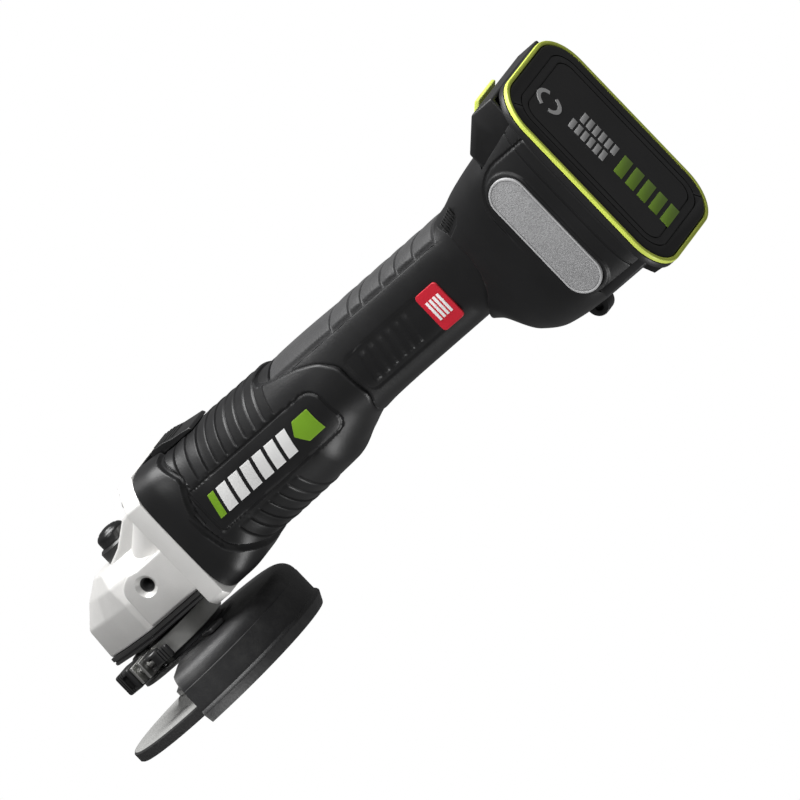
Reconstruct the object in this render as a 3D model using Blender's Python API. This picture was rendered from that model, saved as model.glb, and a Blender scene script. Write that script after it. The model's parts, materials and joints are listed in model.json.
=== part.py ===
"""Cordless angle grinder, built as the assembly it comes apart into.

The origin is the centre of the spindle's end face. +X runs from the gear head to the battery and +Z points
away from the grinding disc. Sizes are in millimetres and heights are taken from the barrel axis, where the
motor lies.
"""

import math

import bmesh
import bpy
from mathutils import Vector

MM = 0.001

# Clearances
GAP = 0.3  # between pieces that touch
RUN = 0.5  # round a turning or sliding piece

# Grinding disc and spindle
DISC_DIAMETER = 115.0
DISC_THICKNESS = 6.0
DISC_BORE = 22.2
DISC_CRANK = 4.5  # how far the disc's centre stands above its rim
DISC_TOP = -67.5
SPINDLE_THREAD = 14.0
SPINDLE_BODY_RADIUS = 7.5
SPINDLE_TOP_RADIUS = 4.0
SPINDLE_END = -76.0
FLANGE_RADIUS = 21.0
INNER_FLANGE_THICKNESS = 5.5
NUT_THICKNESS = 5.0

# Bevel gears: both cones meet where the spindle and motor axes cross
CROWN_TEETH = 35
PINION_TEETH = 10
CROWN_RADIUS = 22.0
CROWN_FACE = 6.0
CROWN_BOTTOM = -14.0
TOOTH_RISE = 0.85
TOOTH_DROP = 1.15
TOOTH_SHARE = 0.36
TOOTH_CREST = TOOTH_SHARE / 2 - 0.09
TOOTH_FOOT = TOOTH_SHARE / 2 + 0.09

# Gear head
NOSE_LENGTH = 32.0
HEAD_HALF_WIDTH = 33.0
HEAD_BOTTOM = -26.3
HEAD_ROOF = 9.5
GEAR_CAVITY_RADIUS = CROWN_RADIUS + 2.0
GEAR_CAVITY_TOP = -4.6
GEAR_CAVITY_STEP = 1.4  # the extra room over the teeth's high inner ends
HEAD_FLANGE_X = 46.0
HEAD_FLANGE_THICKNESS = 10.5
HEAD_FLANGE_HALF_WIDTH = 35.5
HEAD_FLANGE_TOP = 37.0
HEAD_FLANGE_BOTTOM = -38.5
BOSS_X = 26.0
BOSS_Z = -8.0
BOSS_RADIUS = 14.0
BOSS_FACE = 34.8
BOSS_THREAD_RADIUS = 4.0
BOSS_DEPTH = 12.0

# Bearing cover, with the neck that carries the guard
COVER_THICKNESS = 4.7
COVER_LIP = 0.8
NECK_RADIUS = 21.0
NECK_BOTTOM = -45.0
LOWER_BEARING_RADIUS = 16.0
LOWER_BEARING_HEIGHT = 10.0
UPPER_BEARING_RADIUS = 7.4
UPPER_BEARING_HEIGHT = 6.0

# Spindle lock
LOCK_X = 12.0
LOCK_PIN_RADIUS = 2.0
LOCK_BUTTON_RADIUS = 8.3
LOCK_COLLAR_WALL = 2.3
LOCK_COLLAR_HEIGHT = 7.0
LOCK_BUTTON_TOP = 24.3
LOCK_TRAVEL = 5.0
LOCK_HOLES = 4

# Guard and its clamp
GUARD_RADIUS = 64.0
GUARD_SHEET = 2.0
GUARD_TOP = -46.0
GUARD_BOTTOM = -78.0
GUARD_LIP = 1.5
GUARD_START = -76.0
GUARD_SWEEP = 180.0
COLLAR_WALL = 2.0
COLLAR_TOP = -33.0
BAND_WALL = 2.2
BAND_HEIGHT = 10.0
CLAMP_ANGLE = -104.0
CLAMP_SLOT_HALF = 2.0
EAR_THICKNESS = 2.0
EAR_REACH = 13.0
CLAMP_SCREW_RADIUS = 2.0
CLAMP_HEAD_RADIUS = 3.4

# Motor
FAN_X = 60.5
FAN_THICKNESS = 9.0
FAN_RADIUS = 25.0
FAN_BLADES = 9
STATOR_X = 84.0
STATOR_LENGTH = 38.0
STATOR_RADIUS = 25.0
ROTOR_RADIUS = 13.5
AIR_GAP = 0.6
SHAFT_RADIUS = 3.5
MOTOR_BEARING_RADIUS = 11.0
FRONT_BEARING_X = 45.0
REAR_BEARING_X = 130.0
MOTOR_BEARING_WIDTH = 7.0

# Motor housing, handle and foot
WALL = 2.6
BARREL_RADIUS = 33.5
BARREL_LENGTH = 132.0
SHROUD_HALF_WIDTH = 35.2
SHROUD_TOP = 36.0
SHROUD_BOTTOM = -38.2
HANDLE_LENGTH = 97.5
HANDLE_HALF_WIDTH = 25.5
HANDLE_TOP = 31.6
HANDLE_BOTTOM = -21.0
FOOT_DEPTH = 43.0
FOOT_BOTTOM = -52.0
FOOT_FLOOR = 2.2
FOOT_HALF_WIDTH = 43.5
FOOT_SHOULDER = 42.0
CHEEK_TOP = 61.0
GRIP_DEPTH = 1.5
GRIP_HALF_WIDTH = 13.0
GRIP_PADS = 7
PAD_HALF_LENGTH = 36.0
PAD_HALF_WIDTH = 10.5
PAD_Z = -6.0
PAD_SINK = 1.6
SEAM = 0.4  # groove between the shells
SPLIT = 0.3  # between left and right halves

# Slide switch
SWITCH_X = 66.0
SWITCH_LENGTH = 28.0
SWITCH_HALF_WIDTH = 11.0
SWITCH_FLOOR = 33.0
SWITCH_RISE = 5.3
SWITCH_TRAVEL = 6.0
ROD_THICKNESS = 2.4
ROD_BOTTOM = 26.2

# Battery pack
PACK_WIDTH = 88.0
PACK_HEIGHT = 120.0
PACK_CENTRE = 1.0
PACK_BASE = 6.7
CELL_COUNT = 5
CELL_DIAMETER = 21.0
CELL_LENGTH = 70.0
CELL_PITCH = 21.3
CASE_WALL = 2.0
TRIM_WIDTH = 2.2
RELEASE_TRAVEL = 3.0
RELEASE_HALF_WIDTH = 13.0
RELEASE_LENGTH = 16.0
RELEASE_PROUD = 2.6
RELEASE_RUN = 16.0  # of the slope on the pack's upper front corner
RELEASE_RISE = 14.0

# Stations along the tool, each from the one before
HEAD_REAR = HEAD_FLANGE_X + HEAD_FLANGE_THICKNESS
BARREL_X = HEAD_REAR + GAP
BARREL_END = BARREL_X + BARREL_LENGTH
FOOT_X = BARREL_END + HANDLE_LENGTH
BAY_X = FOOT_X + FOOT_DEPTH
CASE_HALF_WIDTH = CELL_LENGTH / 2 + GAP + CASE_WALL
CASE_DEPTH = CELL_DIAMETER + 2 * (GAP + CASE_WALL) + 5.0
FOOT_REAR = BAY_X + GAP + CASE_DEPTH
PACK_X = FOOT_REAR + GAP
PACK_REAR = PACK_X + PACK_BASE
PACK_TOP = PACK_CENTRE + PACK_HEIGHT / 2
PACK_BOTTOM = PACK_CENTRE - PACK_HEIGHT / 2
BAY_HALF_WIDTH = CASE_HALF_WIDTH + RUN
BAY_BOTTOM = FOOT_BOTTOM + FOOT_FLOOR
CASE_BOTTOM = BAY_BOTTOM + GAP
CASE_TOP = CASE_BOTTOM + 2 * CASE_WALL + 2 * GAP + CELL_COUNT * CELL_PITCH
DISC_CENTRE_TOP = DISC_TOP + DISC_CRANK

COLOURS = {
    "cast_silver": ((0.72, 0.71, 0.69), 0.45, 0.35),
    "shell_black": ((0.012, 0.012, 0.013), 0.5, 0.0),
    "grip_grey": ((0.035, 0.035, 0.037), 0.65, 0.0),
    "guard_black": ((0.02, 0.02, 0.021), 0.55, 0.4),
    "pad_grey": ((0.16, 0.16, 0.165), 0.8, 0.0),
    "steel": ((0.5, 0.5, 0.5), 0.3, 1.0),
    "zinc": ((0.55, 0.55, 0.53), 0.35, 1.0),
    "abrasive": ((0.2, 0.19, 0.18), 0.95, 0.0),
    "lime": ((0.75, 0.88, 0.18), 0.4, 0.0),
    "accent_green": ((0.2, 0.42, 0.02), 0.45, 0.0),
    "badge_red": ((0.6, 0.02, 0.04), 0.4, 0.0),
    "copper": ((0.6, 0.25, 0.1), 0.4, 1.0),
    "cell_wrap": ((0.05, 0.2, 0.45), 0.4, 0.0),
    "circuit_green": ((0.02, 0.18, 0.06), 0.5, 0.0),
    "fan_nylon": ((0.03, 0.03, 0.03), 0.6, 0.0),
}


# Pieces whose cuts leave faces too narrow for the exact solver
NARROW_FACES = ("gear_housing", "foot_left_shell", "foot_right_shell")


# ---------------------------------------------------------------- building tools


def clear_scene():
    for obj in list(bpy.data.objects):
        bpy.data.objects.remove(obj, do_unlink=True)


def material(name):
    """The finish of this name, made the first time it is asked for."""
    found = bpy.data.materials.get(name)
    if found:
        return found
    colour, roughness, metallic = COLOURS[name]
    made = bpy.data.materials.new(name)
    made.use_nodes = True
    shader = made.node_tree.nodes["Principled BSDF"]
    shader.inputs["Base Color"].default_value = (*colour, 1.0)
    shader.inputs["Roughness"].default_value = roughness
    shader.inputs["Metallic"].default_value = metallic
    made.diffuse_color = (*colour, 1.0)
    return made


def empty(name, location, parent=None):
    """An axis or a datum that pieces are parented to, at a place in millimetres from its parent."""
    made = bpy.data.objects.new(name, None)
    bpy.context.scene.collection.objects.link(made)
    made.empty_display_size = 0.01
    made.location = Vector(location) * MM
    made.parent = parent
    return made


def add_object(name, vertices, faces, finish, parent, location=(0, 0, 0), turn=0.0):
    """A closed mesh as an object. turn is an angle about Z, in degrees."""
    mesh = bpy.data.meshes.new(name)
    mesh.from_pydata([Vector(v) * MM for v in vertices], [], faces)
    shape = bmesh.new()
    shape.from_mesh(mesh)
    bmesh.ops.remove_doubles(shape, verts=shape.verts, dist=0.001 * MM)
    bmesh.ops.recalc_face_normals(shape, faces=shape.faces)
    shape.to_mesh(mesh)
    shape.free()
    mesh.shade_smooth()
    mesh.set_sharp_from_angle(angle=math.radians(35))
    mesh.materials.append(material(finish))
    made = bpy.data.objects.new(name, mesh)
    bpy.context.scene.collection.objects.link(made)
    made.parent = parent
    made.location = Vector(location) * MM
    made.rotation_euler = (0, 0, math.radians(turn))
    return made


def combine(target, tool, operation):
    """Cuts, joins or intersects the target with a tool object, which is kept as a wire guide."""
    tool.hide_render = True
    tool.display_type = "WIRE"
    tool.hide_set(True)
    modifier = target.modifiers.new(operation.lower() + "_" + tool.name, "BOOLEAN")
    modifier.object = tool
    modifier.operation = operation
    modifier.solver = "MANIFOLD" if target.name in NARROW_FACES else "EXACT"


def cut(target, *tools):
    for tool in tools:
        combine(target, tool, "DIFFERENCE")


def join(target, *tools):
    for tool in tools:
        combine(target, tool, "UNION")


def bridge(rings, closed=False):
    """Faces between rings of equal count, with flat ends unless the rings form a loop."""
    count = len(rings[0])
    vertices = [v for ring in rings for v in ring]
    faces = []
    spans = len(rings) if closed else len(rings) - 1
    for i in range(spans):
        a = i * count
        b = ((i + 1) % len(rings)) * count
        for j in range(count):
            k = (j + 1) % count
            faces.append((a + j, a + k, b + k, b + j))
    if not closed:
        faces.append(tuple(range(count)))
        last = (len(rings) - 1) * count
        faces.append(tuple(reversed(range(last, last + count))))
    return vertices, faces


def loft(name, rings, finish, parent, **place):
    return add_object(name, *bridge(rings), finish, parent, **place)


def block(name, low, high, finish, parent, **place):
    (x0, y0, z0), (x1, y1, z1) = low, high
    rings = [
        [(x0, y0, z), (x1, y0, z), (x1, y1, z), (x0, y1, z)]
        for z in (z0, z1)
    ]
    return loft(name, rings, finish, parent, **place)


def prism(name, outline, axis, low, high, finish, parent, **place):
    """An outline in the two axes other than axis, in X, Y, Z order, carried from low to high."""
    rings = []
    for level in (low, high):
        ring = []
        for a, b in outline:
            point = [a, b]
            point.insert("XYZ".index(axis), level)
            ring.append(tuple(point))
        rings.append(ring)
    return loft(name, rings, finish, parent, **place)


def turned(name, profile, finish, parent, axis="Z", segments=40, **place):
    """A closed profile of (radius, height) points, turned a full circle about an axis."""
    rings = []
    for i in range(segments):
        angle = 2 * math.pi * i / segments
        c, s = math.cos(angle), math.sin(angle)
        if axis == "Z":
            rings.append([(r * c, r * s, h) for r, h in profile])
        else:
            rings.append([(h, r * c, r * s) for r, h in profile])
    return add_object(name, *bridge(rings, closed=True), finish, parent, **place)


def rod(name, radius, low, high, finish, parent, axis="Z", segments=24, **place):
    """A plain cylinder along an axis."""
    rings = []
    for level in (low, high):
        ring = []
        for i in range(segments):
            angle = 2 * math.pi * i / segments
            a, b = radius * math.cos(angle), radius * math.sin(angle)
            ring.append({"X": (level, a, b), "Y": (a, level, b), "Z": (a, b, level)}[axis])
        rings.append(ring)
    return loft(name, rings, finish, parent, **place)


def solid_turned(name, outline, finish, parent, axis="Z", segments=40, **place):
    """Steps of (radius, height) from one end to the other, turned into a solid shaft."""
    rings = []
    for radius, level in outline:
        ring = []
        for i in range(segments):
            angle = 2 * math.pi * i / segments
            a, b = radius * math.cos(angle), radius * math.sin(angle)
            ring.append((a, b, level) if axis == "Z" else (level, a, b))
        rings.append(ring)
    return loft(name, rings, finish, parent, **place)


def ring_profile(inner, outer, low, high):
    return [(inner, low), (outer, low), (outer, high), (inner, high)]


def sector(name, profile, start, sweep, steps, finish, parent, **place):
    """A closed (radius, height) profile swept part of a turn about Z, with flat ends."""
    rings = []
    for i in range(steps + 1):
        angle = math.radians(start + sweep * i / steps)
        rings.append([(r * math.cos(angle), r * math.sin(angle), h) for r, h in profile])
    return loft(name, rings, finish, parent, **place)


def section(x, half_width, bottom, top, squareness, points=32):
    """A rounded cross-section at one station: 2 is an ellipse, and larger values are squarer."""
    middle = (top + bottom) / 2
    half_height = (top - bottom) / 2
    power = 2 / squareness
    ring = []
    for i in range(points):
        angle = 2 * math.pi * (i + 0.5) / points
        c, s = math.cos(angle), math.sin(angle)
        ring.append(
            (
                x,
                half_width * math.copysign(abs(c) ** power, c),
                middle + half_height * math.copysign(abs(s) ** power, s),
            )
        )
    return ring


def shell_rings(stations, inset=0.0):
    """Cross-sections for a list of (x, half width, bottom, top, squareness), drawn in by an inset."""
    return [
        section(x, half - inset, bottom + inset, top - inset, square)
        for x, half, bottom, top, square in stations
    ]


def rounded_rectangle(half_a, low_b, high_b, radius, steps=5):
    """Outline points, anticlockwise, with round corners."""
    corners = (
        (half_a - radius, high_b - radius, 0),
        (-half_a + radius, high_b - radius, 90),
        (-half_a + radius, low_b + radius, 180),
        (half_a - radius, low_b + radius, 270),
    )
    points = []
    for a, b, start in corners:
        for i in range(steps + 1):
            angle = math.radians(start + 90 * i / steps)
            points.append((a + radius * math.cos(angle), b + radius * math.sin(angle)))
    return points


# ---------------------------------------------------------------- gear head


def head_ring(z, nose, half_width, rear_x, steps=14):
    """Plan outline of the gear head at one height: an elliptical nose that runs back to the flange."""
    ring = [(rear_x, -half_width, z)]
    for i in range(steps + 1):
        angle = math.pi * (-0.5 - i / steps)
        ring.append((nose * math.cos(angle), half_width * math.sin(angle), z))
    ring.append((rear_x, half_width, z))
    return ring


def build_gear_housing(parent):
    rear = HEAD_FLANGE_X + 1.0
    levels = (
        (HEAD_BOTTOM, NOSE_LENGTH, HEAD_HALF_WIDTH),
        (-9.0, NOSE_LENGTH - 1.0, HEAD_HALF_WIDTH - 1.0),
        (HEAD_ROOF - 7.5, NOSE_LENGTH * 0.62, HEAD_HALF_WIDTH * 0.85),
        (HEAD_ROOF, NOSE_LENGTH * 0.28, HEAD_HALF_WIDTH * 0.58),
    )
    rings = [head_ring(z, nose, half, rear) for z, nose, half in levels]
    case = loft("gear_housing", rings, "cast_silver", parent)

    corner = 12.0
    flange_outline = [
        (HEAD_FLANGE_HALF_WIDTH, HEAD_FLANGE_BOTTOM + corner),
        (HEAD_FLANGE_HALF_WIDTH, HEAD_FLANGE_TOP - corner),
        (HEAD_FLANGE_HALF_WIDTH - corner, HEAD_FLANGE_TOP),
        (-HEAD_FLANGE_HALF_WIDTH + corner, HEAD_FLANGE_TOP),
        (-HEAD_FLANGE_HALF_WIDTH, HEAD_FLANGE_TOP - corner),
        (-HEAD_FLANGE_HALF_WIDTH, HEAD_FLANGE_BOTTOM + corner),
        (-HEAD_FLANGE_HALF_WIDTH + corner, HEAD_FLANGE_BOTTOM),
        (HEAD_FLANGE_HALF_WIDTH - corner, HEAD_FLANGE_BOTTOM),
    ]
    join(
        case,
        prism("tool_head_flange", flange_outline, "X", HEAD_FLANGE_X, HEAD_REAR, "steel", parent),
        loft("tool_head_saddle", saddle_rings(), "steel", parent),
    )
    for side in (-1, 1):
        low, high = sorted((side * 20.0, side * BOSS_FACE))
        place = {"location": (BOSS_X, 0, BOSS_Z)}
        boss = rod(f"tool_boss_{side}", BOSS_RADIUS, low, high, "steel", parent, "Y", 32, **place)
        join(case, boss)
    lock_bore = LOCK_PIN_RADIUS + GAP
    rear = HEAD_REAR + 5
    seat = FRONT_BEARING_X - GAP
    fan_mouth = FRONT_BEARING_X + MOTOR_BEARING_WIDTH + GAP
    room = GEAR_CAVITY_RADIUS
    cut(
        case,
        rod("cut_gear_cavity", room, HEAD_BOTTOM - 5, GEAR_CAVITY_TOP, "steel", parent, segments=48),
        rod("cut_teeth_room", room - 4, HEAD_BOTTOM, GEAR_CAVITY_TOP + GEAR_CAVITY_STEP, "steel", parent),
        rod("cut_upper_seat", UPPER_BEARING_RADIUS + GAP, -5, UPPER_BEARING_HEIGHT + 0.6, "steel", parent),
        rod("cut_pinion_bore", pinion_reach() + RUN, 4, rear, "steel", parent, "X"),
        rod("cut_front_seat", MOTOR_BEARING_RADIUS + GAP, seat, rear, "steel", parent, "X", 32),
        rod("cut_fan_mouth", FAN_RADIUS + RUN, fan_mouth, rear, "steel", parent, "X", 40),
        rod("cut_lock_bore", lock_bore, -6, HEAD_ROOF + 5, "steel", parent, location=(LOCK_X, 0, 0)),
    )
    for side in (-1, 1):
        low, high = sorted((side * (BOSS_FACE - BOSS_DEPTH), side * (BOSS_FACE + 5)))
        place = {"location": (BOSS_X, 0, BOSS_Z)}
        cut(case, rod(f"cut_boss_{side}", BOSS_THREAD_RADIUS, low, high, "steel", parent, "Y", **place))
    return case


def saddle_rings():
    """The rising back of the head, from the roof up to the flange's front face."""
    start = HEAD_FLANGE_X - 19.0
    return [
        section(start, HEAD_HALF_WIDTH - 6, HEAD_BOTTOM + 2, HEAD_ROOF - 1, 3),
        section(HEAD_FLANGE_X - 9, HEAD_HALF_WIDTH - 3, HEAD_BOTTOM + 1, HEAD_ROOF + 6, 3),
        section(HEAD_FLANGE_X + 2.3, HEAD_HALF_WIDTH, HEAD_BOTTOM + 0.5, HEAD_FLANGE_TOP - 8, 3),
    ]


def pinion_reach():
    """The pinion's largest tip radius."""
    return CROWN_RADIUS * PINION_TEETH / CROWN_TEETH + TOOTH_RISE + 0.2


def build_bearing_cover(parent):
    top = HEAD_BOTTOM - GAP
    bottom = top - COVER_THICKNESS
    rings = [
        head_ring(z, NOSE_LENGTH + lip, HEAD_HALF_WIDTH + lip, HEAD_FLANGE_X - GAP)
        for z, lip in ((bottom, 0.0), (bottom + 0.8, COVER_LIP), (top, COVER_LIP))
    ]
    cover = loft("bearing_cover", rings, "shell_black", parent)
    join(cover, rod("tool_cover_neck", NECK_RADIUS, NECK_BOTTOM, bottom + 1, "steel", parent, segments=48))
    seat = lower_bearing_bottom() - GAP
    cut(
        cover,
        rod("cut_cover_seat", LOWER_BEARING_RADIUS + GAP, seat, top + 3, "steel", parent, segments=40),
        rod("cut_cover_bore", SPINDLE_BODY_RADIUS + RUN, NECK_BOTTOM - 3, top, "steel", parent),
    )
    return cover


def lower_bearing_bottom():
    return HEAD_BOTTOM - GAP - COVER_THICKNESS - LOWER_BEARING_HEIGHT + 2.0


def build_bearings(parent):
    low = lower_bearing_bottom()
    high = low + LOWER_BEARING_HEIGHT
    inner = SPINDLE_BODY_RADIUS + 0.05
    turned("lower_spindle_bearing", ring_profile(inner, LOWER_BEARING_RADIUS, low, high), "steel", parent)
    inner = SPINDLE_TOP_RADIUS + 0.05
    profile = ring_profile(inner, UPPER_BEARING_RADIUS, 0.0, UPPER_BEARING_HEIGHT)
    turned("upper_spindle_bearing", profile, "steel", parent, segments=32)
    for name, x in (("front_motor_bearing", FRONT_BEARING_X), ("rear_motor_bearing", REAR_BEARING_X)):
        profile = ring_profile(SHAFT_RADIUS + 0.05, MOTOR_BEARING_RADIUS, x, x + MOTOR_BEARING_WIDTH)
        turned(name, profile, "steel", parent, "X", 32)


def build_head_screws(parent):
    """The long screws that pull the gear head onto the motor housing, one in each corner of the flange."""
    radius = 3.0
    high = HEAD_FLANGE_TOP - 9.5
    low = (HEAD_FLANGE_BOTTOM + HEAD_BOTTOM - GAP - COVER_THICKNESS) / 2
    for number, (side, z) in enumerate(((-1, high), (1, high), (-1, low), (1, low)), 1):
        place = {"location": (0, side * (HEAD_FLANGE_HALF_WIDTH - 12.0), z)}
        front = HEAD_FLANGE_X - GAP
        rod(f"head_screw_{number}", radius, front - 3.0, front, "zinc", parent, "X", 16, **place)


# ---------------------------------------------------------------- spindle


def tooth_height(phase):
    """Height of a tooth above its root line, from 0 to 1, at a phase counted from the tooth's centre."""
    distance = abs((phase + 0.5) % 1.0 - 0.5)
    return min(1.0, max(0.0, (TOOTH_FOOT - distance) / (TOOTH_FOOT - TOOTH_CREST)))


def tooth_phases():
    """Where a tooth's outline has its points, as shares of the pitch."""
    return (0.0, TOOTH_CREST, TOOTH_FOOT, 1 - TOOTH_FOOT, 1 - TOOTH_CREST)


def build_crown_gear(parent):
    slope = PINION_TEETH / CROWN_TEETH
    inner = CROWN_RADIUS - CROWN_FACE
    bore = SPINDLE_BODY_RADIUS - 1.5 + GAP
    hub = -inner * slope - TOOTH_DROP
    rings = []
    for tooth in range(CROWN_TEETH):
        for phase in tooth_phases():
            angle = 2 * math.pi * (tooth + phase) / CROWN_TEETH
            c, s = math.cos(angle), math.sin(angle)
            ring = [(bore, hub), (inner, hub)]
            for radius in (inner, CROWN_RADIUS):
                size = radius / CROWN_RADIUS
                pitch = -radius * slope
                height = tooth_height(phase)
                z = pitch - TOOTH_DROP * size + height * (TOOTH_DROP + TOOTH_RISE) * size
                ring.append((radius, z + (0.02 if radius == inner else 0.0)))
            ring += [(CROWN_RADIUS, CROWN_BOTTOM + 2), (CROWN_RADIUS - 2, CROWN_BOTTOM), (bore, CROWN_BOTTOM)]
            rings.append([(r * c, r * s, z) for r, z in ring])
    gear = add_object("crown_gear", *bridge(rings, closed=True), "steel", parent)
    for number in range(LOCK_HOLES):
        angle = 2 * math.pi * number / LOCK_HOLES
        place = {"location": (LOCK_X * math.cos(angle), LOCK_X * math.sin(angle), 0)}
        hole = LOCK_PIN_RADIUS + GAP
        bore = rod(f"cut_lock_hole_{number}", hole, CROWN_BOTTOM - 2, 0, "steel", parent, "Z", 16, **place)
        cut(gear, bore)
    return gear


def build_pinion(parent):
    slope = PINION_TEETH / CROWN_TEETH
    rings = []
    for x in (CROWN_RADIUS - CROWN_FACE, CROWN_RADIUS):
        size = x / CROWN_RADIUS
        ring = []
        for tooth in range(PINION_TEETH):
            for phase in tooth_phases():
                angle = 2 * math.pi * (tooth + phase + 0.5) / PINION_TEETH - math.pi / 2
                radius = x * slope + size * (tooth_height(phase) * (TOOTH_DROP + TOOTH_RISE) - TOOTH_DROP)
                ring.append((x, radius * math.cos(angle), radius * math.sin(angle)))
        rings.append(ring)
    pinion = loft("pinion", rings, "steel", parent)
    cut(pinion, rod("cut_pinion_hub", SHAFT_RADIUS + 0.1 - 1.0, 0, CROWN_RADIUS + 5, "steel", parent, "X"))
    return pinion


def build_spindle(parent):
    shoulder = DISC_CENTRE_TOP + GAP + INNER_FLANGE_THICKNESS + GAP
    seat = SPINDLE_BODY_RADIUS - 1.5
    thread = SPINDLE_THREAD / 2
    outline = (
        (thread - 1.0, SPINDLE_END),
        (thread, SPINDLE_END + 1.0),
        (thread, shoulder),
        (SPINDLE_BODY_RADIUS + 2.5, shoulder),
        (SPINDLE_BODY_RADIUS + 2.5, NECK_BOTTOM - 1.5),
        (SPINDLE_BODY_RADIUS, NECK_BOTTOM - 1.5),
        (SPINDLE_BODY_RADIUS, CROWN_BOTTOM - GAP),
        (seat, CROWN_BOTTOM - GAP),
        (seat, -3.0),
        (SPINDLE_TOP_RADIUS, -3.0),
        (SPINDLE_TOP_RADIUS, UPPER_BEARING_HEIGHT),
    )
    solid_turned("spindle", outline, "steel", parent, segments=32)
    build_crown_gear(parent)

    top = shoulder - GAP
    bottom = top - INNER_FLANGE_THICKNESS
    spigot = DISC_BORE / 2 - 0.2
    bore = thread + 0.1
    profile = [
        (bore, top),
        (bore, bottom - 3.0),
        (spigot, bottom - 3.0),
        (spigot, bottom),
        (FLANGE_RADIUS, bottom),
        (FLANGE_RADIUS, bottom + 2.5),
        (FLANGE_RADIUS - 6, top),
    ]
    turned("inner_flange", profile, "zinc", parent)

    disc_top = DISC_TOP
    centre = DISC_CENTRE_TOP
    outer = DISC_DIAMETER / 2
    profile = [
        (DISC_BORE / 2, centre),
        (FLANGE_RADIUS + 2, centre),
        (FLANGE_RADIUS + 9, disc_top),
        (outer, disc_top),
        (outer, disc_top - DISC_THICKNESS),
        (FLANGE_RADIUS + 9, disc_top - DISC_THICKNESS),
        (FLANGE_RADIUS + 2, centre - DISC_THICKNESS),
        (DISC_BORE / 2, centre - DISC_THICKNESS),
    ]
    turned("grinding_disc", profile, "abrasive", parent, segments=64)

    top = centre - DISC_THICKNESS - GAP
    profile = [
        (bore, top),
        (bore, top - NUT_THICKNESS),
        (FLANGE_RADIUS - 6, top - NUT_THICKNESS),
        (FLANGE_RADIUS - 1, top - 2.5),
        (FLANGE_RADIUS - 1, top),
    ]
    turned("flange_nut", profile, "steel", parent)


def build_spindle_lock(parent):
    bottom = HEAD_ROOF + LOCK_TRAVEL + 1.4
    radius = LOCK_BUTTON_RADIUS
    tip = -3.0
    outline = (
        (LOCK_PIN_RADIUS - 0.5, tip),
        (LOCK_PIN_RADIUS, tip + 0.5),
        (LOCK_PIN_RADIUS, bottom),
        (radius, bottom),
        (radius, LOCK_BUTTON_TOP - 3.5),
        (radius - 1.5, LOCK_BUTTON_TOP - 1.2),
        (radius - 4.5, LOCK_BUTTON_TOP),
    )
    axis = empty("spindle_lock_axis", (LOCK_X, 0, 0), parent)
    solid_turned("spindle_lock_button", outline, "shell_black", axis, segments=32)
    profile = ring_profile(LOCK_PIN_RADIUS + 0.8, LOCK_PIN_RADIUS + 2.4, HEAD_ROOF + GAP, bottom - GAP)
    turned("spindle_lock_spring", profile, "steel", axis, segments=20)
    inner = radius + GAP
    profile = ring_profile(inner, inner + LOCK_COLLAR_WALL, HEAD_ROOF + GAP, HEAD_ROOF + LOCK_COLLAR_HEIGHT)
    turned("spindle_lock_collar", profile, "shell_black", axis, segments=32)


# ---------------------------------------------------------------- guard


def clamp_point(radial, tangential, z):
    """A point given from the clamp's own directions: outwards, round towards the guard's skirt, and up."""
    angle = math.radians(CLAMP_ANGLE)
    c, s = math.cos(angle), math.sin(angle)
    return (radial * c - tangential * s, radial * s + tangential * c, z)


def clamp_block(name, radial, tangential, height, finish, parent):
    """A box between pairs of limits in the clamp's own directions."""
    rings = [
        [
            clamp_point(radial[0], tangential[0], z),
            clamp_point(radial[1], tangential[0], z),
            clamp_point(radial[1], tangential[1], z),
            clamp_point(radial[0], tangential[1], z),
        ]
        for z in height
    ]
    return loft(name, rings, finish, parent)


def clamp_rod(name, radius, radial, z, tangential, finish, parent, segments=16):
    """A cylinder along the clamp's tangential direction."""
    rings = []
    for along in tangential:
        ring = []
        for i in range(segments):
            angle = 2 * math.pi * i / segments
            ring.append(clamp_point(radial + radius * math.cos(angle), along, z + radius * math.sin(angle)))
        rings.append(ring)
    return loft(name, rings, finish, parent)


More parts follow.
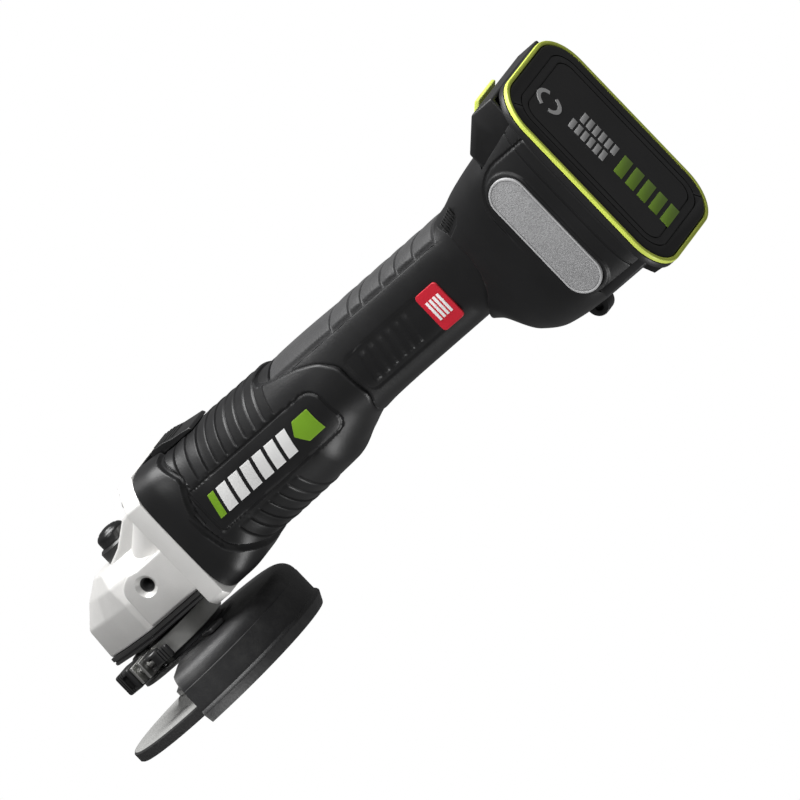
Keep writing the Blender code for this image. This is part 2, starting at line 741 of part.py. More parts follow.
def build_guard(parent):
    inner = NECK_RADIUS + RUN
    collar = inner + COLLAR_WALL
    under = GUARD_TOP - GUARD_SHEET
    profile = [
        (collar - 0.5, GUARD_TOP),
        (GUARD_RADIUS - 6.0, GUARD_TOP),
        (GUARD_RADIUS - 1.5, GUARD_TOP - 1.5),
        (GUARD_RADIUS, GUARD_TOP - 6.0),
        (GUARD_RADIUS, GUARD_BOTTOM + 3.5),
        (GUARD_RADIUS + GUARD_LIP, GUARD_BOTTOM + 2.8),
        (GUARD_RADIUS + GUARD_LIP, GUARD_BOTTOM),
        (GUARD_RADIUS - GUARD_SHEET, GUARD_BOTTOM),
        (GUARD_RADIUS - GUARD_SHEET, GUARD_TOP - 7.0),
        (GUARD_RADIUS - 3.5, under - 1.5),
        (GUARD_RADIUS - 7.0, under),
        (collar - 0.5, under),
    ]
    guard = sector("guard", profile, GUARD_START, GUARD_SWEEP, 30, "guard_black", parent)
    plate_ring = ring_profile(inner, collar + 6.0, under, GUARD_TOP)
    collar_ring = ring_profile(inner, collar, under + 0.5, COLLAR_TOP)
    join(
        guard,
        turned("tool_guard_ring", plate_ring, "steel", parent, segments=48),
        turned("tool_guard_collar", collar_ring, "steel", parent, segments=48),
    )
    slot = (-CLAMP_SLOT_HALF, CLAMP_SLOT_HALF)
    height = (GUARD_TOP + 0.6, COLLAR_TOP + 3)
    cut(guard, clamp_block("cut_collar_slot", (10, collar + 3), slot, height, "steel", parent))

    low = COLLAR_TOP - BAND_HEIGHT - 0.5
    high = COLLAR_TOP - 0.5
    band_inner = collar + GAP
    band_outer = band_inner + BAND_WALL
    profile = ring_profile(band_inner, band_outer, low, high)
    opening = math.degrees(CLAMP_SLOT_HALF / band_inner)
    start = CLAMP_ANGLE + opening
    band = sector("guard_band", profile, start, 360 - 2 * opening, 46, "zinc", parent)
    screw_radial = band_outer + EAR_REACH * 0.6
    screw_z = (low + high) / 2
    for side in (-1, 1):
        span = sorted((side * (CLAMP_SLOT_HALF + 0.2), side * (CLAMP_SLOT_HALF + 0.2 + EAR_THICKNESS)))
        reach = (band_inner + 0.8, band_outer + EAR_REACH)
        join(band, clamp_block(f"tool_ear_{side}", reach, span, (low, high), "steel", parent))
    hole = CLAMP_SCREW_RADIUS + GAP
    cut(band, clamp_rod("cut_ear_holes", hole, screw_radial, screw_z, (-12, 12), "steel", parent))

    ear = CLAMP_SLOT_HALF + 0.2 + EAR_THICKNESS + GAP
    screw = clamp_rod(
        "clamp_screw", CLAMP_SCREW_RADIUS, screw_radial, screw_z, (-ear - 4.0, ear + 5.5), "zinc", parent
    )
    axis = (screw_radial, screw_z)
    along = (-ear - 5.5, -ear - 3.0)
    join(screw, clamp_rod("tool_screw_head", CLAMP_HEAD_RADIUS, *axis, along, "steel", parent))
    reach = (band_outer + 1.0, band_outer + EAR_REACH + 1.0)
    height = (low - 1.0, high + 1.0)
    nut = clamp_block("clamp_block", reach, (-ear - 11.0, -ear), height, "shell_black", parent)
    head_room = CLAMP_HEAD_RADIUS + GAP
    head_span = (-ear - 6.0, -ear - 2.7)
    hollow = clamp_rod("cut_block_screw", head_room, *axis, head_span, "steel", parent)
    join(hollow, clamp_rod("tool_block_way", hole, *axis, (-ear - 5, -ear + 3), "steel", parent))
    cut(nut, hollow)
    mouth = (screw_z - head_room, screw_z + head_room)
    cut(nut, clamp_block("cut_block_mouth", (screw_radial, reach[1] + 3), head_span, mouth, "steel", parent))

    pivot = empty("clamp_lever_axis", clamp_point(screw_radial, ear + 5.0, screw_z), parent)
    build_clamp_lever(pivot, hole)
    return guard


def build_clamp_lever(pivot, hole):
    """A cam on the screw's end, with a short thumb plate. Its parent empty stands on the pivot."""
    half = BAND_HEIGHT / 2 - 1.0
    cam = rod("clamp_lever", 5.0 - GAP, -half, half, "shell_black", pivot, segments=28)
    outline = [clamp_point(r, t, 0)[:2] for r, t in ((2.0, 1.0), (4.6, 1.0), (4.6, 16.0), (2.0, 15.0))]
    join(cam, prism("tool_lever_plate", outline, "Z", -half + 0.5, half - 0.5, "steel", pivot))
    slot = [clamp_point(r, t, 0)[:2] for r, t in ((-hole, -8), (12, -8), (12, hole), (-hole, hole))]
    cut(cam, prism("cut_lever_slot", slot, "Z", -hole, hole, "steel", pivot))


# ---------------------------------------------------------------- motor


def build_motor(parent):
    end = STATOR_X + STATOR_LENGTH
    bore = ROTOR_RADIUS + AIR_GAP
    stator = turned("stator", ring_profile(bore, STATOR_RADIUS, STATOR_X, end), "steel", parent, "X", 48)
    for x0, x1 in ((STATOR_X - 4, STATOR_X + 1), (end - 1, end + 4)):
        winding = ring_profile(bore + 1.5, STATOR_RADIUS - 3, x0, x1)
        coil = turned(f"tool_coil_{x0:.0f}", winding, "copper", parent, "X", 32)
        join(stator, coil)

    nose = CROWN_RADIUS - CROWN_FACE
    outline = (
        (SHAFT_RADIUS - 1.0, nose),
        (SHAFT_RADIUS - 1.0, CROWN_RADIUS + GAP),
        (SHAFT_RADIUS, CROWN_RADIUS + GAP),
        (SHAFT_RADIUS, STATOR_X + 1),
        (ROTOR_RADIUS, STATOR_X + 1),
        (ROTOR_RADIUS, end - 1),
        (SHAFT_RADIUS, end - 1),
        (SHAFT_RADIUS, REAR_BEARING_X + MOTOR_BEARING_WIDTH + 1),
    )
    solid_turned("rotor", outline, "steel", parent, "X", 32)
    build_pinion(parent)
    build_fan(parent)


def build_fan(parent):
    hub = SHAFT_RADIUS + GAP
    front = FAN_X
    plate = front + 2.0
    fan = turned("fan", ring_profile(hub, FAN_RADIUS, front, plate), "fan_nylon", parent, "X", 40)
    rear = front + FAN_THICKNESS
    join(fan, turned("tool_fan_hub", ring_profile(hub, 9.0, front, rear), "fan_nylon", parent, "X", 24))
    for number in range(FAN_BLADES):
        angle = 2 * math.pi * number / FAN_BLADES
        c, s = math.cos(angle), math.sin(angle)
        outline = []
        for radius, side in ((8.0, -0.7), (FAN_RADIUS - 0.5, 1.3), (FAN_RADIUS - 0.5, 2.9), (8.0, 0.9)):
            outline.append((radius * c - side * s, radius * s + side * c))
        blade = prism(f"tool_blade_{number}", outline, "X", plate - 0.5, rear - 0.5, "fan_nylon", parent)
        join(fan, blade)
    return fan


# ---------------------------------------------------------------- shells


def housing_stations():
    x = BARREL_X
    r = BARREL_RADIUS
    return [
        (x, SHROUD_HALF_WIDTH, SHROUD_BOTTOM, SHROUD_TOP, 4.6),
        (x + 16, SHROUD_HALF_WIDTH - 0.7, SHROUD_BOTTOM, SHROUD_TOP - 1, 4.2),
        (x + 27, r + 0.6, -r - 1.8, r + 0.8, 3.0),
        (x + 40, r, -r, r, 2.3),
        (BARREL_END - 42, r - 0.3, -r + 1.5, r - 0.2, 2.2),
        (BARREL_END - 28, r - 1.2, -r + 6.5, r - 0.6, 2.2),
        (BARREL_END - 12, r - 3, HANDLE_BOTTOM - 1.2, HANDLE_TOP + 0.4, 2.3),
        (BARREL_END + 4, r - 5, HANDLE_BOTTOM - 0.6, HANDLE_TOP + 0.2, 2.5),
    ]


def handle_stations():
    r = BARREL_RADIUS
    half = HANDLE_HALF_WIDTH
    return [
        (BARREL_END - 52, r - 3.0, -r + 6, HANDLE_TOP + 0.3, 2.2),
        (BARREL_END - 24, r - 4.5, HANDLE_BOTTOM - 3, HANDLE_TOP + 0.2, 2.4),
        (BARREL_END + 2, half + 1.5, HANDLE_BOTTOM - 0.4, HANDLE_TOP, 2.6),
        (BARREL_END + 26, half, HANDLE_BOTTOM, HANDLE_TOP, 2.8),
        (FOOT_X - 24, half, HANDLE_BOTTOM, HANDLE_TOP, 2.8),
        (FOOT_X - 12, half + 0.5, HANDLE_BOTTOM - 5, HANDLE_TOP + 0.2, 2.8),
        (FOOT_X + 4, half + 3, HANDLE_BOTTOM - 20, HANDLE_TOP + 2.5, 3.0),
    ]


def foot_stations():
    half = HANDLE_HALF_WIDTH
    step = FOOT_HALF_WIDTH - half
    return [
        (FOOT_X - 30, half - 0.2, HANDLE_BOTTOM + 0.2, HANDLE_TOP - 0.2, 2.8),
        (FOOT_X - 18, half + 0.2, HANDLE_BOTTOM - 8, HANDLE_TOP, 2.8),
        (FOOT_X - 6, half + 0.2 * step, FOOT_BOTTOM + 7, HANDLE_TOP + 2, 3.0),
        (FOOT_X + 8, half + 0.55 * step, FOOT_BOTTOM + 1.5, FOOT_SHOULDER - 4, 3.4),
        (FOOT_X + 24, half + 0.85 * step, FOOT_BOTTOM + 0.3, FOOT_SHOULDER, 4.0),
        (BAY_X - 2, FOOT_HALF_WIDTH - 0.5, FOOT_BOTTOM, FOOT_SHOULDER + 3.5, 4.6),
        (FOOT_REAR, FOOT_HALF_WIDTH, FOOT_BOTTOM, CHEEK_TOP, 5.0),
    ]


def barrel_seam():
    """Side view of the seam where the motor housing ends, from the top of the tool to its underside."""
    return [
        (BARREL_END - 50, 45),
        (BARREL_END - 50, 30),
        (BARREL_END - 44, 27),
        (BARREL_END - 26, 25),
        (BARREL_END - 9, 19),
        (BARREL_END - 1, 11),
        (BARREL_END, -10),
        (BARREL_END - 8, -19),
        (BARREL_END - 13, -26),
        (BARREL_END - 13, -60),
    ]


def foot_seam():
    """Side view of the seam where the foot begins, from the top of the tool to its underside."""
    return [
        (FOOT_X - 12, 60),
        (FOOT_X - 12, 32),
        (FOOT_X - 3, 24),
        (FOOT_X, 10),
        (FOOT_X - 2, 0),
        (FOOT_X - 8, -10),
        (FOOT_X - 18, -18),
        (FOOT_X - 27, -26),
        (FOOT_X - 27, -70),
    ]


def seam_cutter(name, seam, toward, shift, parent):
    """Everything on one side of a seam line: toward is -1 for the head's side and 1 for the battery's."""
    far = seam[0][0] + toward * 300
    outline = [(x + shift, z) for x, z in seam] + [(far, seam[-1][1]), (far, seam[0][1])]
    return prism(name, outline, "Y", -80, 80, "steel", parent)


def build_motor_housing(parent):
    stations = housing_stations()
    housing = loft("motor_housing", shell_rings(stations), "shell_black", parent)
    inner = [(x, half, low, high, square) for x, half, low, high, square in stations]
    inner[0] = (inner[0][0] - 2, *inner[0][1:])
    inner[-1] = (inner[-1][0] + 2, *inner[-1][1:])
    cut(
        housing,
        loft("cut_housing_inside", shell_rings(inner, WALL), "steel", parent),
        seam_cutter("cut_housing_end", barrel_seam(), 1, -SEAM / 2, parent),
    )
    end = SWITCH_X + SWITCH_LENGTH + 3.0
    start = SWITCH_X - SWITCH_TRAVEL - 1.0
    half = SWITCH_HALF_WIDTH + 1.0
    stem = switch_stem()
    slot = ((stem[0] - SWITCH_TRAVEL - 1, -5.0, 20), (stem[1] + 1, 5.0, 50))
    cut(
        housing,
        block("cut_switch_floor", (start, -half, SWITCH_FLOOR), (end, half, 60), "steel", parent),
        block("cut_switch_slot", *slot, "steel", parent),
    )
    for side, name in ((-1, "left"), (1, "right")):
        recess = label_outline(0.0)
        low, high = sorted((side * label_depth(), side * 60))
        cut(housing, prism(f"cut_label_{name}", recess, "Y", low, high, "steel", parent))
        low, high = sorted((side * (label_depth() + GAP), side * (label_depth() + GAP + 1.0)))
        prism(f"label_plate_{name}", label_outline(0.5), "Y", low, high, "accent_green", parent)
    return housing


def label_depth():
    """How far from the middle plane the label's recess goes: to just inside the barrel's side."""
    return BARREL_RADIUS - 1.9


def label_outline(inset):
    """The recessed name panel on the barrel's side, without any name on it."""
    low, high = -9.0 + inset, 9.0 - inset
    start = BARREL_X + 33 + inset
    end = start + 62 - 2 * inset
    return [(start, low), (end - 3, low), (end, 0), (end - 3, high), (start, high)]


def switch_stem():
    middle = SWITCH_X + SWITCH_LENGTH / 2
    return middle - 5.0, middle + 5.0


def build_slide_switch(parent):
    x0, x1 = SWITCH_X, SWITCH_X + SWITCH_LENGTH
    floor = SWITCH_FLOOR + GAP
    half = SWITCH_HALF_WIDTH
    outline = [
        (x0, floor),
        (x0, floor + SWITCH_RISE - 1.5),
        (x0 + 2, floor + SWITCH_RISE),
        (x0 + 8, floor + SWITCH_RISE - 0.3),
        (x0 + 14, floor + 3.6),
        (x1 - 6, floor + 2.6),
        (x1 - 1, floor + 2.0),
        (x1, floor),
    ]
    button = prism("slide_switch", outline, "Y", -half, half, "grip_grey", parent)
    stem = switch_stem()
    rod_top = ROD_BOTTOM + ROD_THICKNESS
    foot = (stem[0], -4.2, rod_top + GAP)
    join(button, block("tool_switch_stem", foot, (stem[1], 4.2, floor + 1), "steel", parent))
    rod_end = BARREL_END + 8
    block("switch_rod", (stem[0], -3.5, ROD_BOTTOM), (rod_end, 3.5, rod_top), "fan_nylon", parent)


def build_handle(parent):
    for side, name in ((-1, "left"), (1, "right")):
        stations = handle_stations()
        shell = loft(f"handle_{name}_shell", shell_rings(stations), "shell_black", parent)
        ends = list(stations)
        ends[0] = (ends[0][0] - 2, *ends[0][1:])
        ends[-1] = (ends[-1][0] + 2, *ends[-1][1:])
        keep_low, keep_high = (-80, -SPLIT / 2) if side < 0 else (SPLIT / 2, 80)
        cut(
            shell,
            loft(f"cut_handle_inside_{name}", shell_rings(ends, WALL), "steel", parent),
            seam_cutter(f"cut_handle_front_{name}", barrel_seam(), -1, SEAM / 2, parent),
            seam_cutter(f"cut_handle_rear_{name}", foot_seam(), 1, -SEAM / 2, parent),
            grip_pocket(f"cut_grip_{name}", parent),
        )
        half = block(f"tool_handle_half_{name}", (0, keep_low, -80), (400, keep_high, 80), "steel", parent)
        combine(shell, half, "INTERSECT")


def grip_limits():
    return BARREL_END - 40, FOOT_X - 14


def grip_pocket(name, parent):
    start, end = grip_limits()
    low = HANDLE_TOP - GRIP_DEPTH
    half = GRIP_HALF_WIDTH + GAP
    return block(name, (start - GAP, -half, low), (end + GAP, half, 60), "steel", parent)


def build_grip(parent):
    """The soft strip along the top of the handle, with cross grooves between its pads."""
    start, end = grip_limits()
    low = HANDLE_TOP - GRIP_DEPTH + GAP
    outline = []
    for i in range(9):
        y = GRIP_HALF_WIDTH * (1 - i / 4)
        outline.append((y, HANDLE_TOP + 0.5 - 2.0 * (y / GRIP_HALF_WIDTH) ** 4 + 0.6))
    outline += [(-GRIP_HALF_WIDTH, low), (GRIP_HALF_WIDTH, low)]
    grip = prism("handle_top_grip", outline, "X", start, end, "grip_grey", parent)
    pitch = (end - start) / GRIP_PADS
    floor = HANDLE_TOP + 0.3
    for number in range(1, GRIP_PADS):
        x = start + number * pitch
        cut(grip, block(f"cut_groove_{number}", (x - 0.6, -30, floor), (x + 0.6, 30, 60), "steel", parent))
    return grip


def build_foot(parent):
    for side, name in ((-1, "left"), (1, "right")):
        stations = foot_stations()
        shell = loft(f"foot_{name}_shell", shell_rings(stations), "shell_black", parent)
        inside = [(x - 2 if i == 0 else x, *rest) for i, (x, *rest) in enumerate(stations[:-2])]
        wall_x = BAY_X - WALL
        bay = ((BAY_X, -BAY_HALF_WIDTH, BAY_BOTTOM), (FOOT_REAR + 20, BAY_HALF_WIDTH, 90))
        inside.append((wall_x, FOOT_HALF_WIDTH - 1.0, FOOT_BOTTOM, FOOT_SHOULDER + 3, 4.6))
        keep_low, keep_high = (-80, -SPLIT / 2) if side < 0 else (SPLIT / 2, 80)
        cut(
            shell,
            loft(f"cut_foot_inside_{name}", shell_rings(inside, WALL), "steel", parent),
            seam_cutter(f"cut_foot_front_{name}", foot_seam(), -1, SEAM / 2, parent),
            block(f"cut_bay_{name}", *bay, "steel", parent),
            block(f"cut_terminals_{name}", (wall_x - 5, -17, -16), (BAY_X + 5, 17, 12), "steel", parent),
            pad_solid(f"cut_pad_{name}", side, GAP, 0.0, 20.0, parent),
        )
        half = block(f"tool_foot_half_{name}", (0, keep_low, -80), (400, keep_high, 90), "steel", parent)
        combine(shell, half, "INTERSECT")
        pad_solid(f"foot_pad_{name}", side, 0.0, GAP, 2.0, parent)


def pad_solid(name, side, grow, lift, height, parent):
    """A stadium-shaped bumper pad, or the pocket that holds it, on one cheek of the foot."""
    base = FOOT_HALF_WIDTH - PAD_SINK
    x = BAY_X + 3.5
    outline = []
    radius = PAD_HALF_WIDTH + grow
    run = PAD_HALF_LENGTH - PAD_HALF_WIDTH
    for end, start in ((1, 0), (-1, 180)):
        for i in range(9):
            angle = math.radians(start + 180 * i / 8)
            outline.append((x + radius * math.cos(angle), PAD_Z + end * run + radius * math.sin(angle)))
    low, high = sorted((side * (base + lift), side * (base + lift + height)))
    return prism(name, outline, "Y", low, high, "pad_grey", parent)


def build_badge(parent):
    x = FOOT_X - 34
    front = HANDLE_HALF_WIDTH + GAP
    for side, name in ((-1, "left"), (1, "right")):
        outline = rounded_rectangle(7.5, -11.0, 11.5, 2.0, 3)
        outline = [(a + x, b) for a, b in outline]
        low, high = sorted((side * front, side * (front + 0.8)))
        prism(f"badge_plate_{name}", outline, "Y", low, high, "badge_red", parent)


def build_electrics(parent):
    x = BARREL_END + 8 + GAP
    block("microswitch", (x, -5, 9.0), (x + 20, 5, 25.0), "shell_black", parent)
    inside = HANDLE_HALF_WIDTH - WALL - 4.0
    block("controller_board", (x - 6, -inside, -9.0), (FOOT_X - 20, inside, -5.0), "circuit_green", parent)
    block("terminal_block", (BAY_X - WALL - 12, -15, -14), (BAY_X - 0.6, 15, 10), "shell_black", parent)


# ---------------------------------------------------------------- battery


def build_battery(parent):
    x0 = BAY_X + GAP
    x1 = PACK_X - GAP
    half = CASE_HALF_WIDTH
    slope = CASE_TOP - RELEASE_RISE
    outline = [(x0, CASE_BOTTOM), (x1, CASE_BOTTOM), (x1, CASE_TOP)]
    outline += [(x0 + RELEASE_RUN, CASE_TOP), (x0, slope)]
    case = prism("battery_case", outline, "Y", -half, half, "shell_black", parent)
    inner = half - CASE_WALL
    hollow = CELL_DIAMETER + 2 * GAP
    cells_low = CASE_BOTTOM + CASE_WALL
    cells_high = CASE_TOP - CASE_WALL
    corners = ((x1 - hollow, -inner, cells_low), (x1 + 3, inner, cells_high))
    cells = block("cut_case_cells", *corners, "steel", parent)
    contacts = block("cut_case_contacts", (x0 - 3, -14, -13), (x0 + 3.5, 14, 9), "steel", parent)
    cut(case, cells, contacts)

    radius = CELL_DIAMETER / 2
    centre = x1 - hollow / 2
    for number in range(CELL_COUNT):
        z = cells_low + GAP + (number + 0.5) * CELL_PITCH
        half_cell = CELL_LENGTH / 2
        place = {"location": (centre, 0, z)}
        name = f"battery_cell_{number + 1}"
        rod(name, radius, -half_cell, half_cell, "cell_wrap", parent, "Y", 24, **place)

    outer = rounded_rectangle(PACK_WIDTH / 2, PACK_BOTTOM, PACK_TOP, 17.0)
    seat_low, seat_high = PACK_BOTTOM + TRIM_WIDTH, PACK_TOP - TRIM_WIDTH
    seat = rounded_rectangle(PACK_WIDTH / 2 - TRIM_WIDTH, seat_low, seat_high, 15.0)
    trim_x = PACK_REAR - 3.0
    face = rounded_rectangle(
        PACK_WIDTH / 2 - TRIM_WIDTH - GAP, PACK_BOTTOM + TRIM_WIDTH + GAP, PACK_TOP - TRIM_WIDTH - GAP, 14.7
    )
    base = prism("battery_base", outer, "X", PACK_X, trim_x - GAP, "shell_black", parent)
    join(base, prism("tool_base_face", face, "X", PACK_X + 1, PACK_REAR, "steel", parent))
    ring = prism("battery_trim_ring", outer, "X", trim_x, PACK_REAR - 0.6, "lime", parent)
    cut(ring, prism("cut_trim_ring", seat, "X", trim_x - 3, PACK_REAR + 3, "steel", parent))
    return case


def build_release_button(parent):
    """The sloping push button on the pack's upper front corner."""
    slope = Vector((RELEASE_RUN, 0, RELEASE_RISE)).normalized()
    out = Vector((-slope.z, 0, slope.x))
    foot = Vector((BAY_X + GAP, 0, CASE_TOP - RELEASE_RISE)) + out * (RELEASE_TRAVEL + GAP)
    ends = (foot + slope * 2.5, foot + slope * (RELEASE_LENGTH + 2.5))
    rise = out * RELEASE_PROUD
    outline = [(p.x, p.z) for p in (ends[0], ends[0] + rise, ends[1] + rise, ends[1])]
    half = RELEASE_HALF_WIDTH
    prism("battery_release_button", outline, "Y", -half, half, "lime", parent)


# ---------------------------------------------------------------- assembly


def main():
    clear_scene()
    barrel = empty("barrel_axis", (0, 0, -SPINDLE_END))
    spindle_axis = empty("spindle_axis", (0, 0, 0), barrel)
    motor_axis = empty("motor_axis", (0, 0, 0), barrel)
    guard_axis = empty("guard_axis", (0, 0, 0), barrel)
    battery = empty("battery_datum", (0, 0, 0), barrel)

    build_gear_housing(barrel)
    build_bearing_cover(barrel)
    build_bearings(barrel)
    build_head_screws(barrel)
    build_spindle(spindle_axis)
    build_spindle_lock(barrel)
    build_guard(guard_axis)
    build_motor(motor_axis)
    build_motor_housing(barrel)
    build_slide_switch(barrel)
    build_handle(barrel)
    build_grip(barrel)
    build_foot(barrel)
    build_badge(barrel)
    build_electrics(barrel)
    build_battery(battery)
    build_release_button(battery)


main()
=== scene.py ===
"""Looks of the cordless angle grinder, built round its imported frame.

Every sub-assembly is a class: its fields are sizes in millimetres, its methods build meshes and dress
them. Shapes are drawn in millimetres from the barrel axis, with +X towards the battery, and carried into
the frame at the end.
"""

from __future__ import annotations

import json
import logging
import math
from dataclasses import dataclass
from enum import Enum
from typing import Callable, Iterable, Sequence

import bmesh
import bpy
import numpy as np
from mathutils import Matrix, Vector


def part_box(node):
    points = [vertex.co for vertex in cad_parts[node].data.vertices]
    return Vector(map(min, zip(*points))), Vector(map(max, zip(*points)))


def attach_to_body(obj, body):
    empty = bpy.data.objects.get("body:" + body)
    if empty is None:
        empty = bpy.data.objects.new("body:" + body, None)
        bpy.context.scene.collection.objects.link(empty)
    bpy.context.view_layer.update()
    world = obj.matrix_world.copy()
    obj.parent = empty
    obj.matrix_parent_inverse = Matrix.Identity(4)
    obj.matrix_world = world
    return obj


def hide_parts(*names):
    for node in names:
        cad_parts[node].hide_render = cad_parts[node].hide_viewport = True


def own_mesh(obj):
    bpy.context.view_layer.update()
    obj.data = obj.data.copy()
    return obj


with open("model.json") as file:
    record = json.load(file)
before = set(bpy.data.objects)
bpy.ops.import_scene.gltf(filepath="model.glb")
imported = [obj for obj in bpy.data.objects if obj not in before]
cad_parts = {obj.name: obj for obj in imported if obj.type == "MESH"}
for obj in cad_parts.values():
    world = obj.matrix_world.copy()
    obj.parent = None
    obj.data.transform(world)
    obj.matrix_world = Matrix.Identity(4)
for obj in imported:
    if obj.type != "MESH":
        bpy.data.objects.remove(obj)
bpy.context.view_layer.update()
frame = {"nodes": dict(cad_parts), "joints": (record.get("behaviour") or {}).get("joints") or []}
LOG = logging.getLogger("angle_grinder")

MM = 0.001
AXIS_HEIGHT = next(j["pos_m"][2] for j in frame["joints"] if j["name"] == "rotor_spin")
AXIS_MM = AXIS_HEIGHT / MM
SEAM_GAP = 0.2  # half the gap between neighbouring mouldings
SPLIT_GAP = 0.15  # half the gap between left and right shells
MIX_INPUTS, MIX_RESULT = (6, 7), 2  # places of a Mix node's colour sockets
Object = bpy.types.Object
Material = bpy.types.Material
Socket = bpy.types.NodeSocket
Point = tuple[float, float, float]
Mesh = tuple[np.ndarray, list]


class Side(Enum):
    """The tool's two sides, seen from behind it."""

    LEFT = -1
    RIGHT = 1


# ---------------------------------------------------------------- shape tools


def span(node: str) -> tuple[np.ndarray, np.ndarray]:
    """Gives a frame node's box in the working units.

    Args:
        node: Name of the frame node.

    Returns:
        Lowest and highest corner in millimetres, with heights from the barrel axis.
    """
    low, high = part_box(node)
    shift = np.array((0.0, 0.0, AXIS_HEIGHT))
    return (np.array(low) - shift) / MM, (np.array(high) - shift) / MM


def linked(name: str, data: bpy.types.ID) -> Object:
    """Makes an object of the data and links it to the scene."""
    made = bpy.data.objects.new(name, data)
    bpy.context.scene.collection.objects.link(made)
    return made


def make_object(name: str, points: Iterable, faces: list, sharp: float = 32.0) -> Object:
    """Turns points in working units into a smooth-shaded object at the origin.

    Args:
        name: Name of the piece.
        points: Vertices in millimetres from the barrel axis.
        faces: Vertex indices of each face.
        sharp: Angle in degrees past which an edge is shaded sharp.

    Returns:
        The linked object, with its faces pointing out.
    """
    mesh = bpy.data.meshes.new(name)
    placed = np.asarray(list(points), float) * MM + np.array((0.0, 0.0, AXIS_HEIGHT))
    mesh.from_pydata(placed.tolist(), [], [tuple(int(i) for i in f) for f in faces])
    shape = bmesh.new()
    shape.from_mesh(mesh)
    bmesh.ops.remove_doubles(shape, verts=shape.verts, dist=1e-7)
    bmesh.ops.recalc_face_normals(shape, faces=shape.faces)
    shape.to_mesh(mesh)
    shape.free()
    made = linked(name, mesh)
    smooth(made, sharp)
    return made


def smooth(piece: Object, sharp: float = 32.0) -> None:
    """Shades a piece smooth up to an angle in degrees."""
    piece.data.shade_smooth()
    piece.data.set_sharp_from_angle(angle=math.radians(sharp))


def bridge(rings: Sequence[Sequence[Point]], loop: bool = False) -> Mesh:
    """Joins rings of equal count.

    Args:
        rings: Rings of points, in order.
        loop: True where the last ring meets the first, so there are no end caps.

    Returns:
        Points and faces of the closed mesh.
    """
    count = len(rings[0])
    points = np.array([p for ring in rings for p in ring], float)
    faces: list = []
    for i in range(len(rings) if loop else len(rings) - 1):
        a, b = i * count, (i + 1) % len(rings) * count
        faces += [(a + j, a + (j + 1) % count, b + (j + 1) % count, b + j) for j in range(count)]
    if not loop:
        faces += [tuple(range(count)), tuple(range(len(points) - 1, len(points) - 1 - count, -1))]
    return points, faces


def turned(
    name: str,
    profile: Sequence[tuple[float, float]],
    axis: str = "Z",
    centre: Point = (0, 0, 0),
    segments: int = 96,
) -> Object:
    """Turns a closed (radius, height) profile a full circle about an axis through the centre.

    Args:
        name: Name of the piece.
        profile: Radius and height of each point.
        axis: X, Y or Z.
        centre: A point on the axis.
        segments: Steps in the circle.

    Returns:
        The closed piece.
    """
    rings = []
    for i in range(segments):
        angle = 2 * math.pi * i / segments
        c, s = math.cos(angle), math.sin(angle)
        ring = []
        for r, h in profile:
            point = {"Z": (r * c, r * s, h), "X": (h, r * c, r * s), "Y": (r * c, h, r * s)}[axis]
            ring.append(tuple(np.add(point, centre)))
        rings.append(ring)
    return make_object(name, *bridge(rings, loop=True))


def prism(
    name: str, outline: Sequence[tuple[float, float]], axis: str, low: float, high: float
) -> Object:
    """Carries an outline, in the two axes other than axis, from low to high.

    Args:
        name: Name of the piece.
        outline: Points in the plane across the axis.
        axis: X, Y or Z.
        low: Where it starts on the axis.
        high: Where it ends.

    Returns:
        The closed piece.
    """
    rings = []
    for level in (low, high):
        ring = []
        for a, b in outline:
            point = [a, b]
            point.insert("XYZ".index(axis), level)
            ring.append(tuple(point))
        rings.append(ring)
    return make_object(name, *bridge(rings))


def block(name: str, low: Point, high: Point) -> Object:
    """A plain box, for cutting or as the blank of a bevelled piece."""
    outline = ((low[0], low[1]), (high[0], low[1]), (high[0], high[1]), (low[0], high[1]))
    return prism(name, outline, "Z", low[2], high[2])


def rounded(half_a: float, low_b: float, high_b: float, radius: float, steps: int = 10) -> list:
    """Outline of a rectangle with round corners, centred on the first axis.

    Args:
        half_a: Half its width.
        low_b: Its lower edge.
        high_b: Its upper edge.
        radius: Radius of the corners.
        steps: Steps in each corner.

    Returns:
        The outline's points.
    """
    corners = ((half_a, high_b, 0), (-half_a, high_b, 90), (-half_a, low_b, 180), (half_a, low_b, 270))
    points = []
    for a, b, start in corners:
        for i in range(steps + 1):
            angle = math.radians(start + 90 * i / steps)
            points.append(
                (
                    a - math.copysign(radius, a) + radius * math.cos(angle),
                    b - (radius if b == high_b else -radius) + radius * math.sin(angle),
                )
            )
    return points


def apply_modifiers(piece: Object) -> Object:
    """Bakes a piece's modifiers into a plain mesh.

    Args:
        piece: The piece, whose mesh is replaced.

    Returns:
        The same piece.
    """
    graph = bpy.context.evaluated_depsgraph_get()
    mesh = bpy.data.meshes.new_from_object(piece.evaluated_get(graph))
    piece.modifiers.clear()
    piece.data = mesh
    return piece


def combine(piece: Object, *tools: Object, how: str = "DIFFERENCE") -> Object:
    """Cuts or joins a piece with tools, which are used up.

    Args:
        piece: The piece to change.
        tools: The shapes to cut away or add.
        how: DIFFERENCE or UNION.

    Returns:
        The same piece.
    """
    for tool in tools:
        modifier = piece.modifiers.new("combine", "BOOLEAN")
        modifier.object = tool
        modifier.operation = how
        modifier.solver = "MANIFOLD"
        apply_modifiers(piece)
        bpy.data.objects.remove(tool, do_unlink=True)
    smooth(piece)
    return piece


